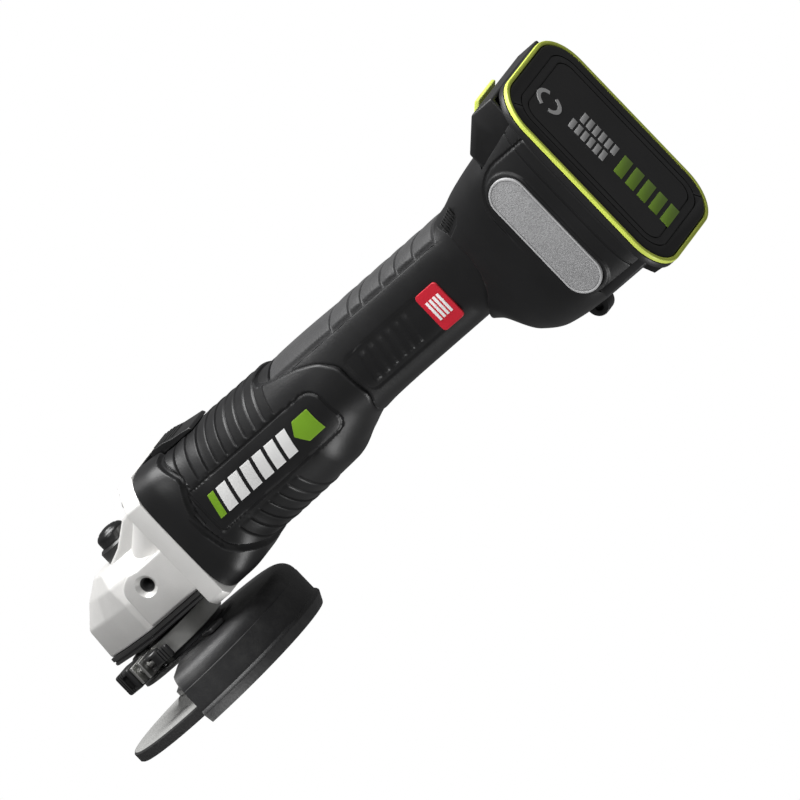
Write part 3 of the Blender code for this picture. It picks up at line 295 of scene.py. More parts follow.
def bevel(piece: Object, width: float, segments: int = 3, angle: float = 30.0) -> Object:
    """Rounds a piece's sharp edges by a width in millimetres.

    Args:
        piece: The piece to change.
        width: Width of the rounding.
        segments: Steps across it.
        angle: Least angle of an edge that is rounded, in degrees.

    Returns:
        The same piece.
    """
    modifier = piece.modifiers.new("bevel", "BEVEL")
    modifier.width = width * MM
    modifier.segments = segments
    modifier.limit_method = "ANGLE"
    modifier.angle_limit = math.radians(angle)
    modifier.harden_normals = False
    apply_modifiers(piece)
    smooth(piece, 40.0)
    return piece


def smoothstep(value: np.ndarray, low: float, high: float) -> np.ndarray:
    """Runs from 0 at low to 1 at high, with a soft start and end."""
    t = np.clip((value - low) / (high - low), 0.0, 1.0)
    return t * t * (3 - 2 * t)


def window(value: np.ndarray, low: float, high: float, soft: float) -> np.ndarray:
    """Is 1 between low and high, and fades to 0 over a soft margin."""
    return smoothstep(value, low - soft, low) * (1 - smoothstep(value, high, high + soft))


def rectangle_field(
    a: np.ndarray, b: np.ndarray, centre: tuple[float, float], half: tuple[float, float], radius: float
) -> np.ndarray:
    """Distance outside a round-cornered rectangle, negative inside it.

    Args:
        a: Places on the first axis.
        b: Places on the second.
        centre: Middle of the rectangle.
        half: Half its width and height.
        radius: Radius of its corners.

    Returns:
        The distance at each place.
    """
    da = np.abs(a - centre[0]) - half[0] + radius
    db = np.abs(b - centre[1]) - half[1] + radius
    outside = np.hypot(np.maximum(da, 0), np.maximum(db, 0))
    return outside + np.minimum(np.maximum(da, db), 0) - radius


Relief = Callable[[np.ndarray, np.ndarray, np.ndarray], np.ndarray]


def sheet_between(name: str, outer: np.ndarray, inner: np.ndarray) -> Object:
    """Closes two grids of points, one above the other, into one skin.

    Args:
        name: Name of the piece.
        outer: Points of the outside, as rows by columns by three.
        inner: Points of the inside, in the same arrangement.

    Returns:
        The closed piece.
    """
    rows, columns = outer.shape[:2]
    shift = rows * columns
    at = np.arange(shift).reshape(rows, columns)
    faces: list = []
    for i in range(rows - 1):
        for j in range(columns - 1):
            quad = (at[i, j], at[i, j + 1], at[i + 1, j + 1], at[i + 1, j])
            faces.append(quad)
            faces.append(tuple(k + shift for k in reversed(quad)))
    border = [*at[0, :-1], *at[:-1, -1], *at[-1, :0:-1], *at[:0:-1, 0]]
    for a, b in zip(border, border[1:] + border[:1]):
        faces.append((b, a, a + shift, b + shift))
    return make_object(name, np.concatenate((outer.reshape(-1, 3), inner.reshape(-1, 3))), faces)


@dataclass
class Casing:
    """A moulded casing drawn through cross-sections along the tool.

    Attributes:
        stations: Rows of x, half width, bottom, top and squareness.
        relief: Height of the surface detail at given points, or None.
    """

    stations: Sequence[tuple[float, float, float, float, float]]
    relief: Relief | None = None

    def values(self, x: np.ndarray) -> np.ndarray:
        """Gives half width, bottom, top and squareness at each x, on smooth curves that never overshoot.

        Args:
            x: Places along the tool.

        Returns:
            One row of the four values for each place.
        """
        table = np.array(self.stations, float)
        knots, levels = table[:, 0], table[:, 1:]
        step = np.diff(knots)[:, None]
        rise = np.diff(levels, axis=0) / step
        before, after = rise[:-1], rise[1:]
        total = np.where(before + after == 0, 1, before + after)
        inner = np.where(before * after > 0, 2 * before * after / total, 0)
        slopes = np.concatenate((rise[:1], inner, rise[-1:]))
        i = np.clip(np.searchsorted(knots, x) - 1, 0, len(knots) - 2)
        t = ((np.asarray(x) - knots[i])[:, None] / step[i]).clip(0, 1)
        start, end = slopes[i] * step[i], slopes[i + 1] * step[i]
        t2, t3 = t * t, t * t * t
        ends = (2 * t3 - 3 * t2 + 1) * levels[i] + (3 * t2 - 2 * t3) * levels[i + 1]
        return ends + (t3 - 2 * t2 + t) * start + (t3 - t2) * end

    def ring(self, x: float, angle: np.ndarray, lift: float = 0.0) -> np.ndarray:
        """Points round one station.

        Args:
            x: The station.
            angle: Directions round the barrel axis, from +Y towards +Z.
            lift: Height over the skin. At 0 the relief is added.

        Returns:
            An array of points.
        """
        along = np.full(len(angle), float(x))
        half, bottom, top, square = self.values(along).T
        c, s = np.cos(angle), np.sin(angle)
        middle, height = (top + bottom) / 2, (top - bottom) / 2
        y = (half + lift) * np.sign(c) * np.abs(c) ** (2 / square)
        z = middle + (height + lift) * np.sign(s) * np.abs(s) ** (2 / square)
        if self.relief is not None and lift == 0:
            rise = self.relief(along, y, z)
            out_y = np.sign(y) * np.abs(y / half) ** (square - 1) / half
            out_z = np.sign(z - middle) * np.abs((z - middle) / height) ** (square - 1) / height
            length = np.maximum(np.hypot(out_y, out_z), 1e-9)
            y = y + rise * out_y / length
            z = z + rise * out_z / length
        return np.stack((along, y, z), axis=-1)

    def side(self, x: np.ndarray, z: np.ndarray) -> np.ndarray:
        """Distance of the skin from the middle plane at given places along the side."""
        half, bottom, top, square = self.values(x).T
        across = np.clip(np.abs(z - (top + bottom) / 2) / ((top - bottom) / 2), 0, 0.999)
        return half * (1 - across**square) ** (1 / square)

    def solid(self, name: str, start: float, end: float, step: float, points: int) -> Object:
        """The filled outer shape between two stations, with a row of points every step."""
        angle = 2 * math.pi * (np.arange(points) + 0.5) / points
        count = max(2, round((end - start) / step) + 1)
        return make_object(name, *bridge([self.ring(x, angle) for x in np.linspace(start, end, count)]), 45.0)

    def hollow(self, name: str, start: float, end: float, wall: float) -> Object:
        """The space inside the walls, which is cut from the solid."""
        angle = 2 * math.pi * (np.arange(64) + 0.5) / 64
        return make_object(name, *bridge([self.ring(x, angle, -wall) for x in np.linspace(start, end, 24)]))

    def patch(
        self,
        name: str,
        side: Side,
        span_x: tuple[float, float],
        lower: Callable[[np.ndarray], np.ndarray],
        upper: Callable[[np.ndarray], np.ndarray],
        lift: float,
        depth: float,
        slant: float = 0.0,
    ) -> Object:
        """A thin plate that follows the casing's side.

        Args:
            name: Name of the piece.
            side: Which side of the tool.
            span_x: Where it starts and ends along the tool.
            lower: Height of its lower edge at each share of its length, from 0 to 1.
            upper: Height of its upper edge.
            lift: Height of its face over the skin.
            depth: Its thickness.
            slant: How far it leans along the tool for each millimetre up.

        Returns:
            The closed plate.
        """
        u, v = np.meshgrid(np.linspace(0, 1, 41), np.linspace(0, 1, 25), indexing="ij")
        z = lower(u) + (upper(u) - lower(u)) * v
        x = span_x[0] + (span_x[1] - span_x[0]) * u + slant * z
        y = self.side(x.ravel(), z.ravel()).reshape(x.shape)
        skins = [np.stack((x, side.value * (y + level), z), axis=-1) for level in (lift, lift - depth)]
        return sheet_between(name, *skins)


def line_through(knots: Sequence[tuple[float, float]]) -> Callable[[np.ndarray], np.ndarray]:
    """A rounded line giving x at each height, through (x, height) knots from top to bottom."""
    table = np.array(sorted((z, x) for x, z in knots))

    def place(height: np.ndarray) -> np.ndarray:
        """Mean of the line over a few heights, which rounds its corners.

        Args:
            height: The heights.

        Returns:
            The place along the tool at each height.
        """
        total = np.zeros_like(height, dtype=float)
        shifts = np.linspace(-2.0, 2.0, 5)
        for shift in shifts:
            total = total + np.interp(height + shift, table[:, 0], table[:, 1])
        return total / len(shifts)

    return place


def attach(piece: Object, finish: Material, body: str, *nodes: str, slot: str = "") -> Object:
    """Gives a piece its finish and body, and hides the frame nodes that it stands for.

    Args:
        piece: The finished piece.
        finish: Its material.
        body: The body it rides on.
        nodes: Frame nodes that it replaces.
        slot: Colour slot, or empty for none; not used.

    Returns:
        The same piece.
    """
    piece.data.materials.clear()
    piece.data.materials.append(finish)
    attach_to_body(piece, body)
    if nodes:
        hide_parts(*nodes)
    LOG.info("%s rides on %s", piece.name, body)
    return piece


# ---------------------------------------------------------------- patterns


def repeat(
    name: str, unit: Object, spots: Sequence[Point], turns: Sequence[float] | None = None
) -> Object:
    """Repeats a unit piece with Geometry Nodes.

    Args:
        name: Name of the finished piece.
        unit: The piece to repeat, drawn round the barrel axis' origin. It is used up.
        spots: Where the copies go, in millimetres from the barrel axis.
        turns: Turn of each copy about X, in radians, or None for none.

    Returns:
        One plain mesh holding all the copies.
    """
    carrier = bpy.data.meshes.new(name)
    carrier.from_pydata([Vector(p) * MM for p in spots], [], [])
    turn = carrier.attributes.new("turn", "FLOAT", "POINT")
    turn.data.foreach_set("value", list(turns) if turns is not None else [0.0] * len(spots))
    made = linked(name, carrier)

    tree = bpy.data.node_groups.new(name + "_pattern", "GeometryNodeTree")
    tree.interface.new_socket("Geometry", in_out="INPUT", socket_type="NodeSocketGeometry")
    unit_input = tree.interface.new_socket("Unit", in_out="INPUT", socket_type="NodeSocketObject")
    size_input = tree.interface.new_socket("Size", in_out="INPUT", socket_type="NodeSocketFloat")
    tree.interface.new_socket("Geometry", in_out="OUTPUT", socket_type="NodeSocketGeometry")
    nodes, link = tree.nodes, tree.links.new
    entry = nodes.new("NodeGroupInput")
    leave = nodes.new("NodeGroupOutput")
    info = nodes.new("GeometryNodeObjectInfo")
    copies = nodes.new("GeometryNodeInstanceOnPoints")
    named = nodes.new("GeometryNodeInputNamedAttribute")
    named.data_type = "FLOAT"
    named.inputs["Name"].default_value = "turn"
    angles = nodes.new("ShaderNodeCombineXYZ")
    real = nodes.new("GeometryNodeRealizeInstances")
    dress = nodes.new("GeometryNodeSetMaterial")
    link(entry.outputs["Geometry"], copies.inputs["Points"])
    link(entry.outputs["Unit"], info.inputs["Object"])
    link(entry.outputs["Size"], copies.inputs["Scale"])
    link(info.outputs["Geometry"], copies.inputs["Instance"])
    link(named.outputs["Attribute"], angles.inputs["X"])
    link(angles.outputs["Vector"], copies.inputs["Rotation"])
    link(copies.outputs["Instances"], real.inputs["Geometry"])
    link(real.outputs["Geometry"], dress.inputs["Geometry"])
    link(dress.outputs["Geometry"], leave.inputs["Geometry"])

    modifier = made.modifiers.new("pattern", "NODES")
    modifier.node_group = tree
    modifier[unit_input.identifier] = unit
    modifier[size_input.identifier] = 1.0
    apply_modifiers(made)
    bpy.data.objects.remove(unit, do_unlink=True)
    smooth(made, 40.0)
    return made


# ---------------------------------------------------------------- finishes


@dataclass
class Graph:
    """A material's node tree, with short ways to add to it."""

    name: str

    def __post_init__(self) -> None:
        """Starts a material that holds only its shader."""
        self.material = bpy.data.materials.new(self.name)
        self.material.use_nodes = True
        self.tree = self.material.node_tree
        self.shader = self.tree.nodes["Principled BSDF"]

    def add(self, kind: str, **settings: object) -> bpy.types.Node:
        """Adds a node; settings name its properties, or its inputs where it has no such property.

        Args:
            kind: The node's type.
            settings: Values by name.

        Returns:
            The new node.
        """
        node = self.tree.nodes.new(kind)
        for key, value in settings.items():
            if hasattr(node, key):
                setattr(node, key, value)
            else:
                node.inputs[key.replace("_", " ").title()].default_value = value
        return node

    def link(self, out: Socket, into: Socket) -> None:
        """Joins two sockets."""
        self.tree.links.new(out, into)

    def place(self) -> Socket:
        """Object coordinates."""
        return self.add("ShaderNodeTexCoord").outputs["Object"]

    def noise(self, scale: float, detail: float = 3.0, roughness: float = 0.55) -> Socket:
        """A noise field of a given scale per metre."""
        node = self.add("ShaderNodeTexNoise", scale=scale, detail=detail, roughness=roughness)
        self.link(self.place(), node.inputs["Vector"])
        return node.outputs["Fac"]

    def cells(self, scale: float) -> Socket:
        """Distance across round cells of a given scale per metre."""
        node = self.add("ShaderNodeTexVoronoi", feature="F1", scale=scale)
        self.link(self.place(), node.inputs["Vector"])
        return node.outputs["Distance"]

    def range(
        self, value: Socket, low: float, high: float, start: float = 0.0, end: float = 1.0
    ) -> Socket:
        """Maps a value from low..high to start..end, held at its ends.

        Args:
            value: The value to map.
            low: Value that gives start.
            high: Value that gives end.
            start: Result at low.
            end: Result at high.

        Returns:
            The mapped value.
        """
        node = self.add("ShaderNodeMapRange")
        for socket, number in zip(node.inputs[1:5], (low, high, start, end)):
            socket.default_value = number
        self.link(value, node.inputs["Value"])
        return node.outputs["Result"]

    def blend(self, share: Socket, first: object, second: object) -> Socket:
        """Mixes two colours, each a socket or an RGB triple.

        Args:
            share: Share of the second colour.
            first: The first colour.
            second: The second colour.

        Returns:
            The mixed colour.
        """
        node = self.add("ShaderNodeMix", data_type="RGBA")
        self.link(share, node.inputs["Factor"])
        for number, colour in zip(MIX_INPUTS, (first, second)):
            socket = node.inputs[number]
            if isinstance(colour, Socket):
                self.link(colour, socket)
            else:
                socket.default_value = (*colour, 1.0)
        return node.outputs[MIX_RESULT]

    def bump(self, *layers: tuple[Socket, float]) -> None:
        """Stacks bump layers, each a height field and its depth in millimetres."""
        normal = None
        for field, depth in layers:
            node = self.add("ShaderNodeBump", distance=depth * MM)
            self.link(field, node.inputs["Height"])
            if normal is not None:
                self.link(normal, node.inputs["Normal"])
            normal = node.outputs["Normal"]
        self.link(normal, self.shader.inputs["Normal"])

    def edges(self, low: float = 0.52, high: float = 0.62) -> Socket:
        """Where the surface is an outer edge."""
        return self.range(self.add("ShaderNodeNewGeometry").outputs["Pointiness"], low, high)

    def set(self, **numbers: float) -> None:
        """Sets shader inputs by name, with underscores for spaces."""
        for key, value in numbers.items():
            self.shader.inputs[key.replace("_", " ").title().replace("Ior", "IOR")].default_value = value


@dataclass(frozen=True)
class Moulded:
    """Spark-eroded plastic: fine grain, faint clouding, and lighter outer edges that are partly edge wear and
    partly a painted highlight.
    """

    name: str
    colour: Point
    # edge: colour of the outer edges, partly edge wear and partly a painted highlight
    edge: Point
    roughness: float = 0.48
    grain: float = 1500.0
    depth: float = 0.05
    specular: float = 0.4

    def make(self) -> Material:
        """Builds the material."""
        g = Graph(self.name)
        cloud = g.noise(38.0, 4.0)
        fine = g.noise(self.grain, 2.0)
        shade = g.range(cloud, 0.3, 0.7, 0.0, 1.0)
        dark = tuple(c * 0.82 for c in self.colour)
        body = g.blend(shade, dark, self.colour)
        # Outer edges blend to the lighter edge colour: partly edge wear, partly a painted highlight.
        wear_and_painted_highlight = g.blend(g.edges(), body, self.edge)
        g.link(wear_and_painted_highlight, g.shader.inputs["Base Color"])
        rough = g.range(cloud, 0.25, 0.75, self.roughness - 0.05, self.roughness + 0.07)
        g.link(rough, g.shader.inputs["Roughness"])
        g.bump((fine, self.depth), (g.noise(self.grain * 0.22, 2.0), self.depth * 0.9))
        g.set(specular_ior_level=self.specular)
        return g.material


@dataclass(frozen=True)
class Cast:
    """Bead-blasted die casting: soft pits, faint flow marks and bright edges."""

    name: str
    colour: Point
    roughness: float = 0.42

    def make(self) -> Material:
        """Builds the material."""
        g = Graph(self.name)
        cloud = g.noise(55.0, 5.0)
        pits = g.cells(1700.0)
        fine = g.noise(2600.0, 3.0)
        tone = g.blend(g.range(cloud, 0.3, 0.7), tuple(c * 0.9 for c in self.colour), self.colour)
        tone = g.blend(g.range(pits, 0.0, 0.25, 0.3, 0.0), tone, tuple(c * 0.6 for c in self.colour))
        tone = g.blend(g.edges(), tone, (0.9, 0.9, 0.88))
        g.link(tone, g.shader.inputs["Base Color"])
        rough = g.range(fine, 0.3, 0.7, self.roughness - 0.06, self.roughness + 0.1)
        g.link(rough, g.shader.inputs["Roughness"])
        g.bump((fine, 0.035), (pits, 0.02), (cloud, 0.12))
        g.set(metallic=0.35)
        return g.material


@dataclass(frozen=True)
class Machined:
    """Bare or plated metal with fine turning marks along one axis."""

    name: str
    colour: Point
    roughness: float = 0.28
    marks: float = 2400.0

    def make(self) -> Material:
        """Builds the material."""
        g = Graph(self.name)
        wave = g.add(
            "ShaderNodeTexWave", wave_type="BANDS", bands_direction="Z", scale=self.marks, distortion=2.0
        )
        g.link(g.place(), wave.inputs["Vector"])
        cloud = g.noise(120.0, 4.0)
        tone = g.blend(g.range(cloud, 0.3, 0.7), tuple(c * 0.78 for c in self.colour), self.colour)
        g.link(tone, g.shader.inputs["Base Color"])
        rough = g.range(cloud, 0.2, 0.8, self.roughness - 0.06, self.roughness + 0.12)
        g.link(rough, g.shader.inputs["Roughness"])
        g.bump((wave.outputs["Fac"], 0.008), (cloud, 0.02))
        g.set(metallic=1.0)
        return g.material


@dataclass(frozen=True)
class Coated:
    """Powder coat on sheet steel: orange peel, dust in the texture, metal showing at the edges."""

    name: str
    colour: Point
    dust: Point

    def make(self) -> Material:
        """Builds the material."""
        g = Graph(self.name)
        peel = g.noise(520.0, 2.0)
        fine = g.noise(2200.0, 3.0)
        dusty = g.range(g.noise(70.0, 6.0, 0.65), 0.45, 0.75, 0.0, 0.35)
        tone = g.blend(dusty, self.colour, self.dust)
        tone = g.blend(g.edges(0.53, 0.66), tone, tuple(c * 2.2 for c in self.dust))
        g.link(tone, g.shader.inputs["Base Color"])
        g.link(g.range(fine, 0.3, 0.7, 0.42, 0.62), g.shader.inputs["Roughness"])
        g.bump((peel, 0.12), (fine, 0.04))
        g.set(metallic=0.0, specular_ior_level=0.5)
        return g.material


@dataclass(frozen=True)
class Abrasive:
    """Bonded grit with the glass mesh pressed into its faces, and a darker cut rim past the given radius."""

    name: str
    colour: Point
    dark: Point
    rim: Point
    rim_radius: float

    def make(self) -> Material:
        """Builds the material."""
        g = Graph(self.name)
        grit = g.cells(1500.0)
        coarse = g.cells(620.0)
        speck = g.range(grit, 0.1, 0.7, 0.0, 1.0)
        tone = g.blend(speck, self.dark, self.colour)
        tone = g.blend(g.range(coarse, 0.0, 0.3, 0.5, 0.0), tone, tuple(c * 0.5 for c in self.dark))
        wave_x = g.add(
            "ShaderNodeTexWave", wave_type="BANDS", bands_direction="X", scale=90.0, distortion=0.6
        )
        wave_y = g.add(
            "ShaderNodeTexWave", wave_type="BANDS", bands_direction="Y", scale=90.0, distortion=0.6
        )
        place = g.place()
        g.link(place, wave_x.inputs["Vector"])
        g.link(place, wave_y.inputs["Vector"])
        net = g.add("ShaderNodeMath", operation="MAXIMUM")
        g.link(wave_x.outputs["Fac"], net.inputs[0])
        g.link(wave_y.outputs["Fac"], net.inputs[1])
        tone = g.blend(g.range(net.outputs[0], 0.85, 1.0, 0.0, 0.35), tone, self.dark)
        flat = g.add("ShaderNodeVectorMath", operation="MULTIPLY")
        flat.inputs[1].default_value = (1.0, 1.0, 0.0)
        g.link(place, flat.inputs[0])
        out = g.add("ShaderNodeVectorMath", operation="LENGTH")
        g.link(flat.outputs["Vector"], out.inputs[0])
        edge = self.rim_radius * MM
        tone = g.blend(g.range(out.outputs["Value"], edge - 0.0004, edge), tone, self.rim)
        g.link(tone, g.shader.inputs["Base Color"])
        g.bump((grit, 0.16), (coarse, 0.2), (net.outputs[0], 0.1))
        g.set(roughness=0.9, specular_ior_level=0.3)
        return g.material


@dataclass(frozen=True)
class Rubber:
    """Soft overmould: matt, with a close pebble grain."""

    name: str
    colour: Point
    pebble: float = 900.0
    depth: float = 0.12
    roughness: float = 0.62

    def make(self) -> Material:
        """Builds the material."""
        g = Graph(self.name)
        pebble = g.cells(self.pebble)
        cloud = g.noise(50.0, 4.0)
        tone = g.blend(g.range(pebble, 0.1, 0.6), tuple(c * 0.7 for c in self.colour), self.colour)
        pale = tuple(min(1.0, c * 1.35) for c in self.colour)
        tone = g.blend(g.range(cloud, 0.4, 0.75, 0.0, 0.4), tone, pale)
        g.link(tone, g.shader.inputs["Base Color"])
        rough = g.range(cloud, 0.2, 0.8, self.roughness - 0.05, self.roughness + 0.08)
        g.link(rough, g.shader.inputs["Roughness"])
        g.bump((pebble, self.depth), (g.noise(2500.0, 2.0), 0.03))
        g.set(sheen_weight=0.15, specular_ior_level=0.35)
        return g.material


@dataclass(frozen=True)
class Finishes:
    """Every finish on the tool, made once."""

    shell: Material
    gloss: Material
    grip: Material
    cast: Material
    coat: Material
    steel: Material
    zinc: Material
    abrasive: Material
    pad: Material
    rim: Material
    lime: Material
    green: Material
    white: Material
    red: Material
    mark: Material
    copper: Material
    sleeve: Material
    board: Material

    @classmethod
    def make(cls) -> "Finishes":
        """Builds all the materials."""
        return cls(
            shell=Moulded("moulded_black", (0.0095, 0.0095, 0.01), (0.06, 0.06, 0.062), 0.4).make(),
            gloss=Moulded(
                "satin_black", (0.009, 0.009, 0.0095), (0.04, 0.04, 0.04), 0.3, 2200.0, 0.015, 0.5
            ).make(),
            grip=Rubber("grip_rubber", (0.04, 0.04, 0.041), roughness=0.5).make(),
            cast=Cast("cast_aluminium", (0.86, 0.85, 0.83)).make(),
            coat=Coated("powder_coat", (0.016, 0.016, 0.017), (0.075, 0.075, 0.072)).make(),
            steel=Machined("ground_steel", (0.5, 0.5, 0.49)).make(),
            zinc=Machined("zinc_plate", (0.62, 0.62, 0.6), 0.34, 900.0).make(),
            abrasive=Abrasive(
                "abrasive_face", (0.38, 0.38, 0.37), (0.2, 0.2, 0.195), (0.03, 0.03, 0.03), 56.6
            ).make(),
            pad=Rubber("pad_rubber", (0.34, 0.34, 0.345), 1000.0, 0.3, 0.7).make(),
            rim=Moulded("pad_rim", (0.5, 0.5, 0.505), (0.7, 0.7, 0.7), 0.3).make(),
            lime=Moulded("lime_plastic", (0.84, 0.98, 0.12), (0.9, 1.0, 0.4), 0.36, 1800.0, 0.02).make(),
            green=Moulded("green_plastic", (0.20, 0.40, 0.02), (0.3, 0.5, 0.06), 0.4, 1800.0, 0.02).make(),
            white=Moulded("white_print", (0.85, 0.85, 0.84), (0.95, 0.95, 0.95), 0.4, 1800.0, 0.01).make(),
            mark=Moulded("grey_print", (0.62, 0.62, 0.62), (0.7, 0.7, 0.7), 0.5, 1800.0, 0.01).make(),
            red=Moulded("red_badge", (0.62, 0.015, 0.035), (0.75, 0.1, 0.1), 0.35, 1800.0, 0.02).make(),
            copper=Machined("winding_copper", (0.72, 0.32, 0.13), 0.35, 1500.0).make(),
            sleeve=Moulded(
                "cell_sleeve", (0.012, 0.013, 0.016), (0.04, 0.04, 0.045), 0.45, 1200.0, 0.02
            ).make(),
            board=Moulded("board_lacquer", (0.01, 0.12, 0.04), (0.1, 0.3, 0.1), 0.3, 900.0, 0.05).make(),
        )


# ---------------------------------------------------------------- gear head


@dataclass
class GearHead:
    """Cast head with its bearing cover, side bosses, screws and the spindle lock.

    Attributes:
        finishes: The tool's finishes.
        roof: Height of the flat top.
        cavity: Radius of the room for the crown gear.
        boss: Place along the tool, height and radius of the handle bosses.
        edge: Radius of the casting's rounded edges.
        lock_travel: How far the lock button goes in; not used.
    """

    finishes: Finishes
    roof: float = 9.5
    cavity: float = 22.4
    boss: tuple[float, float, float] = (26.0, -8.0, 4.0)
    edge: float = 1.1
    lock_travel: float = 5.0

    def __post_init__(self) -> None:
        """Takes the head's outer sizes from its frame node."""
        self.low, self.high = span("gear_housing")
        self.flange = (self.high[0] - 10.5, self.high[0])
        self.cover_top = span("bearing_cover")[1][2] + 0.3

    def facets(self, nose: float, half: float, z: float, rear: float) -> list:
        """Plan outline of the head at one height, with flat facets round its nose."""
        right = [(rear, half), (0.25 * nose, half), (-0.41 * nose, 0.68 * half), (-nose, 0.29 * half)]
        return [(x, y, z) for x, y in right] + [(x, -y, z) for x, y in reversed(right)]

    def build_casting(self) -> None:
        """Makes the faceted head with its flange, saddle, bosses and bores."""
        floor, nose, half = self.cover_top, -self.low[0], 33.0
        rear = self.flange[0] + 1.0
        levels = ((floor, 1.0, 1.0), (-9.0, 0.97, 0.97), (2.0, 0.63, 0.86), (self.roof, 0.3, 0.6))
        rings = [self.facets(nose * a, half * b, z, rear) for z, a, b in levels]
        case = bevel(make_object("gear_head_casting", *bridge(rings)), self.edge, 4, 12.0)
        width, top, bottom = self.high[1], self.high[2], self.low[2]
        outline = []
        corners = ((width, top, 12.0), (-width, top, 12.0), (-width, bottom, 4.0), (width, bottom, 4.0))
        for y, z, corner in corners:
            toward_y, toward_z = -math.copysign(corner, y), -math.copysign(corner, z)
            pair = [(y, z + toward_z), (y + toward_y, z)]
            outline += pair if y * z > 0 else pair[::-1]
        plate = bevel(prism("flange_plate", outline, "X", *self.flange), 0.9, 3)
        saddle = Casing(
            (
                (self.flange[0] - 25, half - 9, floor + 2, self.roof - 1, 3.2),
                (self.flange[0] - 12, half - 5, floor + 1, self.roof + 9, 3.2),
                (self.flange[0] - 2, half - 4, floor + 0.5, top - 9, 3.2),
                (self.flange[0] + 2.3, half - 4, floor + 0.5, top - 6, 3.2),
            )
        ).solid("saddle", self.flange[0] - 25, self.flange[0] + 2.3, 1.0, 96)
        combine(case, plate, saddle, self.wedge(), how="UNION")
        for side in Side:
            combine(case, self.boss_pad(side), self.cheek(side), how="UNION")
        for tool in self.bores():
            combine(case, tool)
        smooth(case, 28.0)
        attach(case, self.finishes.cast, "housing", "gear_housing", slot="cast_silver")

    def wedge(self) -> Object:
        """Raised rib along the middle of the roof."""
        base, top = self.roof - 3, self.roof + 1.4
        outline = [(-6.0, base), (22.5, base), (22.5, top), (2.0, self.roof + 0.6)]
        rib = prism("roof_rib", outline, "Y", -3.2, 3.2)
        return bevel(rib, 0.7, 3)

    def cheek(self, side: Side) -> Object:
        """The ramp that rises beside the lock button to the flange.

        Args:
            side: Which side of the tool.

        Returns:
            The closed ramp.
        """
        outline = [(3.0, 4.0), (9.0, 10.0), (19.0, 14.0), (32.0, 23.0), (self.flange[0] + 1, 27.0)]
        outline.append((self.flange[0] + 1, 4.0))
        ramp = prism("cheek", outline, "Y", *sorted((side.value * 10.6, side.value * 18.5)))
        return bevel(ramp, 1.8, 4, 20.0)

    def boss_pad(self, side: Side) -> Object:
        """The thick D-shaped pad round one handle boss.

        Args:
            side: Which side of the tool.

        Returns:
            The closed pad.
        """
        x, z, _ = self.boss
        outer = self.high[1] - 0.7
        outline = [(x - 14, self.cover_top + 1), (x + 22, self.cover_top + 1), (x + 22, 1.0), (x + 2, 1.0)]
        for degrees in range(105, 181, 15):
            angle = math.radians(degrees)
            outline.append((x + 13.5 * math.cos(angle), z + 1 + 9.5 * math.sin(angle)))
        low, high = sorted((side.value * 24.0, side.value * outer))
        return bevel(prism("boss_pad", outline, "Y", low, high), 1.3, 4, 25.0)

    def bores(self) -> list:
        """Everything that is cut from the casting."""
        floor, rear = self.cover_top, self.flange[1]
        x, z, radius = self.boss
        tools = [
            turned("gear_room", disc_profile(self.cavity, floor - 5, -5.1), segments=128),
            turned("teeth_room", disc_profile(self.cavity - 2.4, floor, -3.2), segments=128),
            turned("top_seat", disc_profile(7.7, -5.0, 6.6)),
            turned("pinion_way", disc_profile(7.8, 4.0, rear + 5), "X"),
            turned("bearing_seat", disc_profile(11.3, 44.7, rear + 5), "X"),
            turned("fan_mouth", disc_profile(25.5, 52.3, rear + 5), "X", segments=128),
            turned("lock_way", disc_profile(2.3, -6.0, self.roof + 5), centre=(12.0, 0, 0), segments=48),
        ]
        for side in Side:
            face = side.value * (self.high[1] - 0.7)
            deep = side.value * (self.high[1] - 12.7)
            wide = [(0, deep), (radius, deep), (radius, face - side.value * 2), (radius + 2, face)]
            wide += [(radius + 2, face * 1.2), (0, face * 1.2)]
            tools.append(turned("boss_bore", wide, "Y", (x, 0, z), 64))
        return tools

    def build_inserts(self) -> None:
        """Makes the threaded sleeves in the two handle bosses, finished near-black as painted shade for the
        deep bores.
        """
        x, z, radius = self.boss
        outer, depth, pitch = radius - 0.05, 11.5, 1.25
        for side in Side:
            face = self.high[1] - 3.4
            wall = []
            for turn in range(int((depth - 3.0) / pitch)):
                start = face - turn * pitch
                wall += [(outer - 0.3, start), (outer - 0.95, start - pitch / 2)]
            deep = self.high[1] - 0.9 - depth
            profile = [(0, deep), (outer, deep), (outer, face + 0.4), *wall]
            profile += [(outer - 0.95, deep + 1.0), (0, deep + 1.0)]
            turned_profile = [(r, side.value * y) for r, y in profile]
            sleeve = turned(f"boss_thread_{side.name.lower()}", turned_profile, "Y", (x, 0, z), 48)
            # The near-black coat on the threaded sleeve is painted shade that keeps the deep bore dark.
            attach(sleeve, self.finishes.coat, "housing", slot="steel")

    def build_cover(self) -> None:
        """Makes the black bearing cover: a stepped band under the head, and the guard's neck."""
        low, high = span("bearing_cover")
        nose, half, rear = -low[0] - 0.8, high[1] - 0.8, high[0]
        levels = (
            (high[2], 0.8, 0.8),
            (high[2] - 2.0, 0.8, 0.8),
            (high[2] - 2.3, 0.1, 0.1),
            (high[2] - 2.8, 0.1, 0.1),
            (high[2] - 3.1, 0.7, 0.7),
            (high[2] - 4.2, 0.7, 0.7),
            (high[2] - 4.7, 0.0, 0.0),
        )
        rings = [self.facets(nose + a, half + b, z, rear) for z, a, b in levels]
        cover = make_object("bearing_cover_plate", *bridge(rings), 20.0)
        neck = turned("neck", disc_profile(21.0, low[2], high[2] - 4.0), segments=128)
        combine(cover, bevel(neck, 0.4, 2), how="UNION")
        seat = turned("bearing_seat", disc_profile(16.3, low[2] + 5.9, high[2] + 3), segments=96)
        bore = turned("spindle_bore", disc_profile(8.0, low[2] - 3, high[2]), segments=96)
        combine(cover, seat, bore)
        smooth(cover, 25.0)
        attach(cover, self.finishes.gloss, "housing", "bearing_cover", slot="shell_black")

